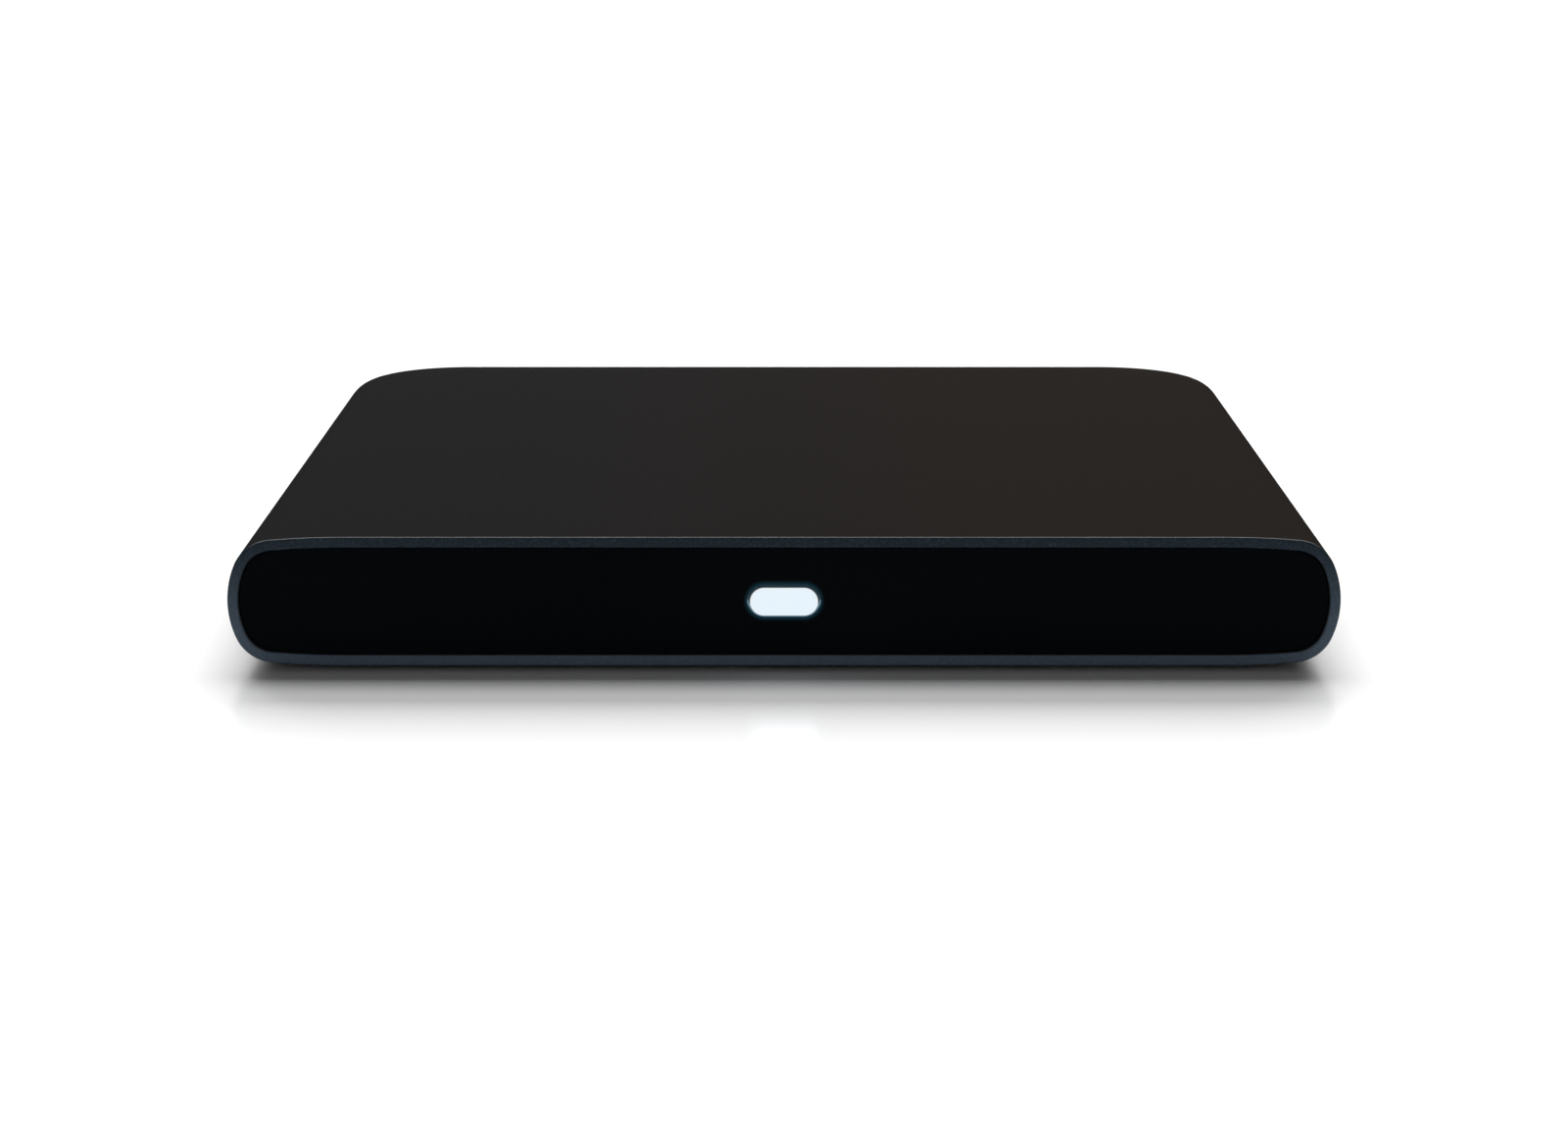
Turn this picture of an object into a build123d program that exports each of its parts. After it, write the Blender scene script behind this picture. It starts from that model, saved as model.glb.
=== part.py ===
"""Streaming media player: a low set-top box in a one-piece sleeve, in millimetres.

The front faces -Y, +Z is up, and the origin is on the surface that the feet stand on, under
the middle of the housing. The chassis slides into the sleeve from the front and carries the
boards, the front panel and the connector panel. Four screws under the feet hold it in.
"""

from build123d import *
from math import asin, cos, pi, radians, sin, tan
import os

os.makedirs("parts", exist_ok=True)

# Housing: a wide, low section whose flat top and bottom ease over a shoulder, in degrees of
# turn, into a tight edge and a full, round side
body_width = 165.0
body_length = 168.8
room_height = 16.3
wall = 1.6
side_radius = 14.1
edge_radius = 6.25
shoulder_radius = 120.0
shoulder_turn = 5.0
rear_corner_radius = 22.2
rim_round = 0.3
foot_stand = 1.0

# Bay for the connectors, cut through the rear wall
bay_side_margin = 26.5
bay_height = 13.0
bay_corner = 2.0

# Feet and the screws behind them
foot_radius = 6.0
foot_sink = 0.5
foot_edge = 0.4
foot_side_margin = 26.5
foot_end_margin = 24.4
foot_gap = 0.1
pad_height = 0.6
pad_rim = 1.0

# Screws: M2.5 for the case and the main board, M2 for the rest
case_screw_radius = 1.25
case_head_radius = 2.4
case_head_height = 0.8
case_screw_length = 6.0
small_screw_radius = 1.0
small_head_radius = 1.8
small_head_height = 0.9
screw_gap = 0.15
recess_gap = 0.3
drive_width = 0.6
drive_depth = 0.4
small_hole_depth = 3.0
post_radius = 2.0

# Front panel, its frame and the power button
panel_recess = 0.8
panel_thickness = 1.5
panel_gap = 0.1
frame_gap = 0.15
frame_rim = 1.2
frame_depth = 5.0
web_thickness = 2.0
cap_width = 10.5
cap_height = 4.6
cap_proud = 0.7
cap_bevel = 0.25
cap_gap = 0.1
flange_lap = 1.1
flange_thickness = 0.8
flange_gap = 0.05
button_travel = 0.3
overtravel = 0.15
stem_radius = 1.1
stem_gap = 0.3
pocket_gap = 0.3
guide_width = 11.0
guide_height = 5.4
guide_depth = 1.9

# Front board and what is on it
front_board_width = 76.0
front_board_height = 11.0
front_board_thickness = 1.0
front_board_standoff = 4.2
front_board_screw_x = 34.0
switch_width = 5.0
switch_height = 4.0
switch_depth = 2.0
plunger_radius = 1.0
plunger_gap = 0.05
plunger_proud = 0.4
plunger_hold = 0.5
led_x = 4.2
led_width = 1.6
led_height = 0.8
led_depth = 0.7
receiver_x = 22.0
receiver_width = 5.0
receiver_height = 5.6
receiver_depth = 2.6
lens_radius = 1.8
lens_gap = 0.8

# Chassis tray
tray_side_margin = 12.5
tray_front_margin = 9.0
tray_rear_margin = 5.8
tray_thickness = 1.0
tray_corner = 12.0
tray_lip_height = 4.0
tray_lip_end = 16.0
tab_side_margin = 27.5
tab_width = 8.0
tab_height = 9.5
tab_screw_rise = 6.5
boss_radius = 2.6
boss_height = 4.2

# Main board
board_thickness = 1.2
board_standoff = 1.5
board_side_margin = 8.0
board_front_gap = 3.4
board_rear_gap = 0.2
board_corner = 6.0
board_screw_margin = 6.0
board_screw_ys = (-12.0, 34.0)
board_screw_length = 3.4
standoff_radius = 2.8

# Processor, heat sink and vents
sink_y = 8.0
processor_size = 17.0
processor_height = 1.6
pad_thickness = 0.5
sink_size = 40.0
sink_base = 2.0
sink_height = 7.5
fin_count = 9
fin_thickness = 1.2
pin_offset = 15.5
pin_radius = 1.3
pin_head_radius = 2.7
pin_head_height = 1.0
pin_gap = 0.15
pin_clearing = 4.0
pin_reach = 1.2
spring_wire_radius = 0.22
spring_radius = 1.9
spring_length = 3.2
spring_turns = 4
vent_count = 8
vent_pitch = 5.0
vent_width = 2.0
vent_length = 24.0

# Other parts on the main board
memory_x = 30.0
memory_spacing = 17.0
memory_width = 9.0
memory_length = 13.0
chip_height = 1.1
flash_back = 40.0
flash_width = 18.0
flash_length = 12.0
coil_x = -45.0
coil_margin = 39.4
coil_spacing = 10.0
coil_size = 7.0
coil_height = 4.0
can_x = 46.0
can_margin = 41.4
can_spacing = 9.0
can_radius = 3.15
can_height = 5.8

# Wireless module, its antennas and their leads
module_x = 35.0
module_back = 28.0
module_width = 22.0
module_length = 26.0
module_thickness = 0.8
shield_width = 15.0
shield_length = 18.0
shield_height = 1.8
shield_wall = 0.2
plug_offset_x = 9.5
plug_offset_y = -6.0
plug_radius = 1.3
plug_height = 1.3
lead_radius = 0.55
run_share = 0.45
antenna_back = 34.0
antenna_length = 30.0
antenna_height = 8.0
antenna_thickness = 0.8
holder_gap = 3.2
holder_thickness = 2.5
holder_height = 9.0

# Ribbon between the two boards
ribbon_x = -15.0
ribbon_width = 8.0
ribbon_thickness = 0.3
ribbon_bend = 2.0
ribbon_socket_width = 11.0
ribbon_socket_depth = 2.0
ribbon_socket_height = 2.4
ribbon_run = 12.0
ribbon_straight = 3.6

# Connector panel
panel_set_in = 1.0
plate_thickness = 1.6
plate_gap = 0.1
plate_flange = 0.8
flange_rim_x = 1.6
flange_rim_z = 0.2
window_gap = 0.15
jack_gap = 0.1
panel_screw_xs = (-20.5, 17.75)
panel_screw_rise = 3.0
panel_screw_length = 4.6
rear_tab_width = 3.8
panel_vent_count = 5
panel_vent_pitch = 2.6
panel_vent_width = 1.2
panel_vent_height = 2.4

# Sockets, by their place along the connector panel
power_x = -47.0
reset_x = -37.0
audio_x = -28.0
optical_x = -12.0
video_x = 8.0
network_x = 28.0
serial_x = 47.0

video_width = 14.0
video_height = 4.6
video_cut = 1.5
video_depth = 10.5
serial_width = 12.5
serial_height = 5.1
serial_depth = 12.0
socket_shell = 0.5
video_tongue_width = 11.2
video_tongue_length = 8.0
video_tongue_thickness = 1.2
serial_tongue_width = 11.0
serial_tongue_length = 9.2
serial_tongue_thickness = 1.8

network_width = 15.9
network_height = 11.0
network_depth = 15.0
network_mouth_width = 11.8
network_mouth_height = 6.8
network_latch_width = 6.2
network_latch_depth = 1.5
network_mouth_rise = 2.7
network_mouth_depth = 12.5
contact_count = 8
contact_pitch = 1.02
contact_width = 0.45
contact_length = 8.0

optical_width = 9.8
optical_wall = 0.9
optical_depth = 13.0
optical_mouth_depth = 10.5
hinge_sink = 1.2
hinge_drop = 0.75
hinge_radius = 0.55
hinge_pin_radius = 0.4
hinge_pin_length = 0.5
hinge_gap = 0.05
shutter_side_gap = 0.2
shutter_thickness = 0.8
shutter_tip_gap = 0.4
emitter_radius = 1.2
emitter_reach = 1.2

power_width = 9.0
power_height = 10.2
power_depth = 13.0
power_nose_radius = 4.0
power_bore_radius = 3.15
power_bore_depth = 9.5
power_pin_radius = 1.05
power_pin_length = 8.5
power_rise = 5.6
audio_width = 7.4
audio_height = 7.0
audio_depth = 13.0
audio_nose_radius = 3.0
audio_bore_radius = 1.8
audio_bore_depth = 14.0
audio_rise = 3.8

reset_body_width = 4.2
reset_body_height = 3.6
reset_body_depth = 3.4
reset_rise = 2.0
reset_radius = 0.8
reset_gap = 0.05
reset_hole_gap = 0.25
reset_sink = 0.5
reset_travel = 0.25
reset_hold = 0.6

# Blank rating label under the housing
label_y = -38.0
label_width = 50.0
label_length = 26.0
label_corner = 1.5
label_sink = 0.2
label_thickness = 0.15
label_gap = 0.2

# Levels and places that follow from the sizes above
body_height = room_height + 2 * wall
half_width = body_width / 2
half_height = body_height / 2
front = -body_length / 2
rear = body_length / 2
middle_z = foot_stand + half_height
floor_z = foot_stand + wall
tray_z = floor_z + pad_height
bay_width = body_width - 2 * bay_side_margin
foot_x = half_width - foot_side_margin
foot_y = rear - foot_end_margin
tray_top = tray_z + tray_thickness
board_z = tray_top + board_standoff
board_top = board_z + board_thickness
pad_top = board_top + processor_height + pad_thickness

edge_angle = radians(90 - shoulder_turn)
edge_drop = shoulder_radius * (1 - sin(edge_angle)) + edge_radius * sin(edge_angle)
side_angle = asin((half_height - edge_drop) / (side_radius - edge_radius))
side_x = half_width - side_radius
edge_x = side_x + (side_radius - edge_radius) * cos(side_angle)
edge_z = (side_radius - edge_radius) * sin(side_angle)
shoulder_x = edge_x - (shoulder_radius - edge_radius) * cos(edge_angle)
shoulder_z = half_height - shoulder_radius
corner_x = half_width - rear_corner_radius
corner_y = rear - rear_corner_radius

panel_front = front + panel_recess
panel_back = panel_front + panel_thickness
web_back = panel_back + web_thickness
frame_back = panel_back + frame_depth
flange_front = panel_back + flange_gap
flange_back = flange_front + flange_thickness
pocket_floor = flange_back + button_travel + overtravel
front_board_y = web_back + front_board_standoff
front_board_back = front_board_y + front_board_thickness
switch_front = front_board_y - switch_depth
plunger_tip = switch_front - plunger_proud
stem_tip = plunger_tip - flange_gap
switch_bore_depth = plunger_hold + button_travel + overtravel
reset_bore_depth = reset_hold + reset_travel + overtravel

tray_half_width = half_width - tray_side_margin
tray_front = front + tray_front_margin
tray_rear = rear - tray_rear_margin
board_front = tray_front + board_front_gap
board_rear = tray_rear - tray_thickness - board_rear_gap
board_half_width = tray_half_width - board_side_margin
board_screw_x = board_half_width - board_screw_margin
flash_y = board_front + flash_back
module_y = board_front + module_back
antenna_y = board_front + antenna_back
coil_y = board_rear - coil_margin
can_y = board_rear - can_margin
tab_x = half_width - tab_side_margin
tab_screw_z = tray_top + tab_screw_rise

plate_face = rear - wall - panel_set_in
plate_back = plate_face - plate_thickness
panel_inside = plate_back - plate_flange
jack_front = panel_inside - jack_gap
panel_screw_z = middle_z + panel_screw_rise

feet = {
    "foot_front_left": (-foot_x, -foot_y),
    "foot_front_right": (foot_x, -foot_y),
    "foot_rear_left": (-foot_x, foot_y),
    "foot_rear_right": (foot_x, foot_y),
}
board_screw_places = [(x, y) for x in (-board_screw_x, board_screw_x) for y in board_screw_ys]
pin_places = [(-pin_offset, sink_y + pin_offset), (pin_offset, sink_y - pin_offset)]
upright = (Align.CENTER, Align.MIN, Align.MIN)
standing = (Align.CENTER, Align.CENTER, Align.MIN)


def facing_front(x, y, z):
    """Upright plane through a point: its x runs right, its y runs up and it faces -Y."""
    return Plane(origin=(x, y, z), x_dir=(1, 0, 0), z_dir=(0, -1, 0))


def block(x, y, z, width, depth, height, mode=Mode.ADD):
    """Box centred on x, reaching from y and z by its depth and height."""
    with Locations((x, y, z)):
        Box(width, depth, height, align=upright, mode=mode)


def post(x, y, z, radius, height, mode=Mode.ADD):
    """Cylinder that stands up from z."""
    with Locations((x, y, z)):
        Cylinder(radius, height, align=standing, mode=mode)


def rod(x, y, z, radius, length, mode=Mode.ADD):
    """Cylinder that runs from y towards the rear."""
    with Locations(Location((x, y, z), (-90, 0, 0))):
        Cylinder(radius, length, align=standing, mode=mode)


def stadium(x, y, z, width, height, depth):
    """Full-round slot shape that runs from y towards the rear."""
    with BuildPart() as shape:
        with BuildSketch(facing_front(x, y, z)):
            SlotOverall(width, height)
        extrude(amount=-depth)
    return shape.part


def half_section(inset, inner_x):
    """Right side of the housing's section, offset inward, from inner_x to the side."""

    def on_arc(x, z, radius, angle):
        """Point of an arc about (x, z), at an angle up from the side."""
        return (x + (radius - inset) * cos(angle), z + (radius - inset) * sin(angle))

    top = half_height - inset
    flat_end = (shoulder_x, top)
    shoulder = on_arc(shoulder_x, shoulder_z, shoulder_radius, (pi / 2 + edge_angle) / 2)
    edge_start = on_arc(edge_x, edge_z, edge_radius, edge_angle)
    edge = on_arc(edge_x, edge_z, edge_radius, (edge_angle + side_angle) / 2)
    side_start = on_arc(side_x, 0, side_radius, side_angle)
    with BuildSketch() as section:
        with BuildLine():
            Line((inner_x, top), flat_end)
            ThreePointArc(flat_end, shoulder, edge_start)
            ThreePointArc(edge_start, edge, side_start)
            ThreePointArc(side_start, (half_width - inset, 0), (side_start[0], -side_start[1]))
            ThreePointArc((side_start[0], -side_start[1]), (edge[0], -edge[1]),
                          (edge_start[0], -edge_start[1]))
            ThreePointArc((edge_start[0], -edge_start[1]), (shoulder[0], -shoulder[1]),
                          (shoulder_x, -top))
            Line((shoulder_x, -top), (inner_x, -top))
            Line((inner_x, -top), (inner_x, top))
        make_face()
    return section.sketch


def housing_solid(inset):
    """The housing's own shape, offset inward: a straight body, round rear corners, a rear."""
    with BuildPart() as solid:
        with BuildSketch(facing_front(0, corner_y, middle_z)):
            add(half_section(inset, 0))
            mirror(about=Plane.YZ)
        extrude(amount=corner_y - front)
        with BuildSketch(facing_front(0, corner_y, middle_z)):
            add(half_section(inset, corner_x))
        revolve(axis=Axis((corner_x, corner_y, 0), (0, 0, 1)), revolution_arc=90)
        mirror(about=Plane.YZ)
        across = Plane(origin=(0, corner_y - corner_x, middle_z), x_dir=(0, 1, 0), z_dir=(1, 0, 0))
        with BuildSketch(across):
            add(half_section(inset, corner_x))
        extrude(amount=corner_x, both=True)
    return solid.part


def front_slab(inset, y, depth):
    """Plate of the housing's full section, offset inward, that runs from y to the rear."""
    with BuildPart() as slab:
        with BuildSketch(facing_front(0, y, middle_z)):
            add(half_section(inset, 0))
            mirror(about=Plane.YZ)
        extrude(amount=-depth)
    return slab.part


def vent_slots(z, height):
    """Row of full-round slots below the heat sink."""
    with BuildPart() as slots:
        with BuildSketch(Plane.XY.offset(z)):
            with Locations((0, sink_y)):
                with GridLocations(vent_pitch, 0, vent_count, 1):
                    SlotOverall(vent_length, vent_width, rotation=90)
        extrude(amount=height)
    return slots.part


def cross_recess(x, y, z, half_length):
    """Cut a cross drive down from z into a screw's head."""
    with Locations((x, y, z - drive_depth)):
        Box(2 * half_length, drive_width, drive_depth, align=standing, mode=Mode.SUBTRACT)
        Box(drive_width, 2 * half_length, drive_depth, align=standing, mode=Mode.SUBTRACT)


def side_screw(x, y, z, length):
    """M2 screw along Y whose head seats on y and faces the rear, with its shank to the front."""
    head_face = y + small_head_height
    with BuildPart() as screw:
        rod(x, y - length, z, small_screw_radius, length)
        rod(x, y, z, small_head_radius, small_head_height)
        with Locations((x, head_face - drive_depth / 2, z)):
            Box(2 * small_screw_radius, drive_depth, drive_width, mode=Mode.SUBTRACT)
            Box(drive_width, drive_depth, 2 * small_screw_radius, mode=Mode.SUBTRACT)
    return screw.part


def down_screw(x, y, z, length):
    """M2.5 screw whose head stands on z, with its shank going down."""
    with BuildPart() as screw:
        post(x, y, z - length, case_screw_radius, length)
        post(x, y, z, case_head_radius, case_head_height)
        cross_recess(x, y, z + case_head_height, case_screw_radius)
    return screw.part


def finish(piece, name):
    """Label a finished piece and write its file."""
    piece.part.label = name
    export_step(piece.part, f"parts/{name}.step")


# Sleeve: one shell, open at the front, with a bay for the connectors at the rear
outer_solid = housing_solid(0)
inner_solid = housing_solid(wall)
sleeve_vents = vent_slots(foot_stand, wall)
seat_z = foot_stand + foot_sink
head_z = seat_z + case_head_height + foot_gap

with BuildPart() as sleeve:
    add(outer_solid)
    add(inner_solid, mode=Mode.SUBTRACT)
    fillet(sleeve.faces().sort_by(Axis.Y)[0].edges(), radius=rim_round)
    for x, y in feet.values():
        post(x, y, floor_z, foot_radius + pad_rim, pad_height)
        post(x, y, foot_stand, foot_radius + foot_gap, foot_sink, mode=Mode.SUBTRACT)
        post(x, y, seat_z, case_head_radius + recess_gap, head_z - seat_z, mode=Mode.SUBTRACT)
        post(x, y, head_z, case_screw_radius + screw_gap, tray_z - head_z, mode=Mode.SUBTRACT)
    add(sleeve_vents, mode=Mode.SUBTRACT)
    with BuildSketch(Plane.XY.offset(foot_stand)):
        with Locations((0, label_y)):
            RectangleRounded(label_width, label_length, label_corner)
    extrude(amount=label_sink, mode=Mode.SUBTRACT)
    with BuildSketch(facing_front(0, rear, middle_z)):
        RectangleRounded(bay_width, bay_height, bay_corner)
    extrude(amount=edge_radius + wall, mode=Mode.SUBTRACT)
finish(sleeve, "sleeve")

for name, (x, y) in feet.items():
    with BuildPart() as foot:
        post(x, y, 0, foot_radius, seat_z)
        fillet(foot.edges().sort_by(Axis.Z)[0], radius=foot_edge)
    finish(foot, name)

with BuildPart() as case_screws:
    for x, y in feet.values():
        post(x, y, head_z, case_screw_radius, case_screw_length)
        post(x, y, head_z - case_head_height, case_head_radius, case_head_height)
        cross_recess(x, y, head_z - case_head_height + drive_depth, case_screw_radius)
finish(case_screws, "case_screws")

with BuildPart() as rating_label:
    with BuildSketch(Plane.XY.offset(foot_stand + label_sink - label_thickness)):
        with Locations((0, label_y)):
            RectangleRounded(label_width - label_gap, label_length - label_gap, label_corner)
    extrude(amount=label_thickness)
finish(rating_label, "rating_label")

# Front panel: a dark window with a full-round hole for the button
window_plate = front_slab(wall + panel_gap, panel_front, panel_thickness)
button_hole = stadium(
    0, panel_front, middle_z, cap_width + 2 * cap_gap, cap_height + 2 * cap_gap, panel_thickness
)

with BuildPart() as front_panel:
    add(window_plate)
    add(button_hole, mode=Mode.SUBTRACT)
finish(front_panel, "front_panel")

# Frame behind the panel: a rim, a web with the button's pocket, and posts for screws
frame_slab = front_slab(wall + frame_gap, panel_back, frame_depth)
frame_space = front_slab(wall + frame_gap + frame_rim, web_back, frame_back - web_back)
pocket_width = cap_width + 2 * (flange_lap + pocket_gap)
pocket_height = cap_height + 2 * (flange_lap + pocket_gap)
flange_pocket = stadium(
    0, panel_back, middle_z, pocket_width, pocket_height, pocket_floor - panel_back
)
light_hole = stadium(
    0, pocket_floor, middle_z, guide_width - 2 * frame_rim, 2 * (stem_radius + stem_gap),
    web_back - pocket_floor,
)

with BuildPart() as front_frame:
    add(frame_slab)
    add(frame_space, mode=Mode.SUBTRACT)
    add(flange_pocket, mode=Mode.SUBTRACT)
    add(light_hole, mode=Mode.SUBTRACT)
    rod(receiver_x, panel_back, middle_z, lens_radius + lens_gap, web_thickness, mode=Mode.SUBTRACT)
    for side in (-1, 1):
        board_post_x = side * front_board_screw_x
        rod(board_post_x, web_back, middle_z, post_radius, front_board_standoff)
        rod(board_post_x, front_board_y - small_hole_depth, middle_z, small_screw_radius,
            small_hole_depth, mode=Mode.SUBTRACT)
        rod(side * tab_x, web_back, tab_screw_z, boss_radius, tray_front - web_back)
        rod(side * tab_x, tray_front - small_hole_depth, tab_screw_z, small_screw_radius,
            small_hole_depth, mode=Mode.SUBTRACT)
finish(front_frame, "front_frame")

# Power button: a full-round cap with a flange behind the panel and a stem to the switch
cap_face = panel_front - cap_proud
cap_body = stadium(0, cap_face, middle_z, cap_width, cap_height, flange_front - cap_face)
cap_flange = stadium(
    0, flange_front, middle_z, cap_width + 2 * flange_lap, cap_height + 2 * flange_lap,
    flange_thickness,
)

with BuildPart() as button_cap:
    add(cap_body)
    chamfer(button_cap.faces().sort_by(Axis.Y)[0].edges(), length=cap_bevel)
    add(cap_flange)
    rod(0, flange_back, middle_z, stem_radius, stem_tip - flange_back)
finish(button_cap, "button_cap")

guide_block = stadium(0, web_back, middle_z, guide_width, guide_height, guide_depth)

with BuildPart() as light_guide:
    add(guide_block)
    rod(0, web_back, middle_z, stem_radius + stem_gap, guide_depth, mode=Mode.SUBTRACT)
finish(light_guide, "light_guide")

# Front board, with the button's switch, its two lamps and the remote control's receiver
with BuildPart() as front_board:
    block(0, front_board_y, middle_z - front_board_height / 2, front_board_width,
          front_board_thickness, front_board_height)
    for side in (-1, 1):
        rod(side * front_board_screw_x, front_board_y, middle_z,
            small_screw_radius + screw_gap, front_board_thickness, mode=Mode.SUBTRACT)
finish(front_board, "front_board")

with BuildPart() as button_switch:
    block(0, switch_front, middle_z - switch_height / 2, switch_width, switch_depth, switch_height)
    rod(0, switch_front, middle_z, plunger_radius + plunger_gap, switch_bore_depth,
        mode=Mode.SUBTRACT)
finish(button_switch, "button_switch")

with BuildPart() as switch_plunger:
    rod(0, plunger_tip, middle_z, plunger_radius, plunger_proud + plunger_hold)
finish(switch_plunger, "switch_plunger")

with BuildPart() as status_lamps:
    for side in (-1, 1):
        block(side * led_x, front_board_y - led_depth, middle_z - led_height / 2, led_width,
              led_depth, led_height)
finish(status_lamps, "status_lamps")

receiver_front = front_board_y - receiver_depth

with BuildPart() as remote_receiver:
    block(receiver_x, receiver_front, middle_z - receiver_height / 2, receiver_width,
          receiver_depth, receiver_height)
    with Locations((receiver_x, receiver_front, middle_z)):
        Sphere(lens_radius)
finish(remote_receiver, "remote_receiver")

front_screw_solids = [
    side_screw(side * front_board_screw_x, front_board_back, middle_z,
               small_hole_depth + front_board_thickness - screw_gap)
    for side in (-1, 1)
]

with BuildPart() as front_board_screws:
    add(front_screw_solids)
finish(front_board_screws, "front_board_screws")

frame_screw_solids = [
    side_screw(side * tab_x, tray_front + tray_thickness, tab_screw_z,
               small_hole_depth + tray_thickness - screw_gap)
    for side in (-1, 1)
]

with BuildPart() as frame_screws:
    add(frame_screw_solids)
finish(frame_screws, "frame_screws")

# Chassis tray: a folded sheet with lips, tabs, bosses for the case screws and standoffs
tray_vents = vent_slots(tray_z, tray_thickness)
panel_tab_height = panel_screw_z + small_head_radius - tray_top

with BuildPart() as chassis_tray:
    with BuildSketch(Plane.XY.offset(tray_z)) as tray_plan:
        with Locations((0, (tray_front + tray_rear) / 2)):
            Rectangle(2 * tray_half_width, tray_rear - tray_front)
        fillet(tray_plan.vertices().group_by(Axis.Y)[-1], radius=tray_corner)
    extrude(amount=tray_thickness)
    add(tray_vents, mode=Mode.SUBTRACT)
    for side in (-1, 1):
        block(side * (tray_half_width - tray_thickness / 2), tray_front, tray_top,
              tray_thickness, tray_rear - tray_front - tray_lip_end, tray_lip_height)
        block(side * tab_x, tray_front, tray_top, tab_width, tray_thickness, tab_height)
        rod(side * tab_x, tray_front, tab_screw_z, small_screw_radius + screw_gap,
            tray_thickness, mode=Mode.SUBTRACT)
    for x, y in feet.values():
        post(x, y, tray_top, boss_radius, boss_height)
        post(x, y, tray_z, case_screw_radius, tray_thickness + boss_height, mode=Mode.SUBTRACT)
    for x, y in board_screw_places:
        post(x, y, tray_top, standoff_radius, board_standoff)
        post(x, y, tray_z, case_screw_radius, tray_thickness + board_standoff, mode=Mode.SUBTRACT)
    for x in panel_screw_xs:
        block(x, tray_rear - tray_thickness, tray_top, rear_tab_width, tray_thickness,
              panel_tab_height)
        rod(x, tray_rear - tray_thickness, panel_screw_z, small_screw_radius, tray_thickness,
            mode=Mode.SUBTRACT)
finish(chassis_tray, "chassis_tray")

# Main board, with clearance round the case-screw bosses and the heat sink's pins
with BuildPart() as main_board:
    with BuildSketch(Plane.XY.offset(board_z)) as board_plan:
        with Locations((0, (board_front + board_rear) / 2)):
            Rectangle(2 * board_half_width, board_rear - board_front)
        fillet(board_plan.vertices().group_by(Axis.Y)[-1], radius=board_corner)
        with Locations(*feet.values()):
            Circle(boss_radius + 2 * recess_gap, mode=Mode.SUBTRACT)
        with Locations(*board_screw_places):
            Circle(case_screw_radius + screw_gap, mode=Mode.SUBTRACT)
        with Locations(*pin_places):
            Circle(pin_radius + pin_gap, mode=Mode.SUBTRACT)
    extrude(amount=board_thickness)
finish(main_board, "main_board")

board_screw_solids = [down_screw(x, y, board_top, board_screw_length) for x, y in board_screw_places]

with BuildPart() as board_screws:
    add(board_screw_solids)
finish(board_screws, "board_screws")

# Processor, thermal pad and the finned heat sink on two sprung pins
with BuildPart() as processor:
    with Locations((0, sink_y, board_top)):
        Box(processor_size, processor_size, processor_height, align=standing)
finish(processor, "processor")

with BuildPart() as thermal_pad:
    with Locations((0, sink_y, board_top + processor_height)):
        Box(processor_size, processor_size, pad_thickness, align=standing)
finish(thermal_pad, "thermal_pad")

fin_pitch = (sink_size - fin_thickness) / (fin_count - 1)

with BuildPart() as heat_sink:
    with Locations((0, sink_y, pad_top)):
        Box(sink_size, sink_size, sink_base, align=standing)
        with GridLocations(fin_pitch, 0, fin_count, 1):
            Box(fin_thickness, sink_size, sink_height, align=standing)
    for x, y in pin_places:
        post(x, y, pad_top + sink_base, pin_clearing, sink_height, mode=Mode.SUBTRACT)
        post(x, y, pad_top, pin_radius + pin_gap, sink_base, mode=Mode.SUBTRACT)
finish(heat_sink, "heat_sink")

spring_z = pad_top + sink_base
pin_head_z = spring_z + spring_length
pin_foot_z = board_z - pin_reach

with BuildPart() as heat_sink_pins:
    for x, y in pin_places:
        post(x, y, pin_foot_z, pin_radius, pin_head_z - pin_foot_z)
        post(x, y, pin_head_z, pin_head_radius, pin_head_height)
finish(heat_sink_pins, "heat_sink_pins")

coil_height_inside = spring_length - 2 * spring_wire_radius

with BuildPart() as heat_sink_springs:
    for x, y in pin_places:
        with BuildLine(Plane(origin=(x, y, spring_z + spring_wire_radius))):
            Helix(coil_height_inside / spring_turns, coil_height_inside, spring_radius)
        wire_start = Plane(
            origin=(x + spring_radius, y, spring_z + spring_wire_radius),
            x_dir=(1, 0, 0), z_dir=(0, 1, 0),
        )
        with BuildSketch(wire_start):
            Circle(spring_wire_radius)
        sweep(is_frenet=True)
finish(heat_sink_springs, "heat_sink_springs")

# Chips, coils and capacitors
with BuildPart() as memory_chips:
    with Locations((0, sink_y, board_top)):
        with GridLocations(2 * memory_x, memory_spacing, 2, 2):
            Box(memory_width, memory_length, chip_height, align=standing)
finish(memory_chips, "memory_chips")

with BuildPart() as flash_chip:
    with Locations((0, flash_y, board_top)):
        Box(flash_width, flash_length, chip_height, align=standing)
finish(flash_chip, "flash_chip")

with BuildPart() as power_coils:
    with Locations((coil_x, coil_y, board_top)):
        with GridLocations(0, coil_spacing, 1, 3):
            Box(coil_size, coil_size, coil_height, align=standing)
finish(power_coils, "power_coils")

with BuildPart() as filter_capacitors:
    with Locations((can_x, can_y, board_top)):
        with GridLocations(can_spacing, can_spacing, 1, 4):
            Cylinder(can_radius, can_height, align=standing)
finish(filter_capacitors, "filter_capacitors")

# Wireless module under its shield, and an antenna at each side
module_top = board_top + module_thickness
plug_y = module_y + plug_offset_y
lead_z = module_top + plug_height / 2
holder_x = board_half_width + holder_gap + antenna_thickness
antenna_face = holder_x - antenna_thickness

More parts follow.
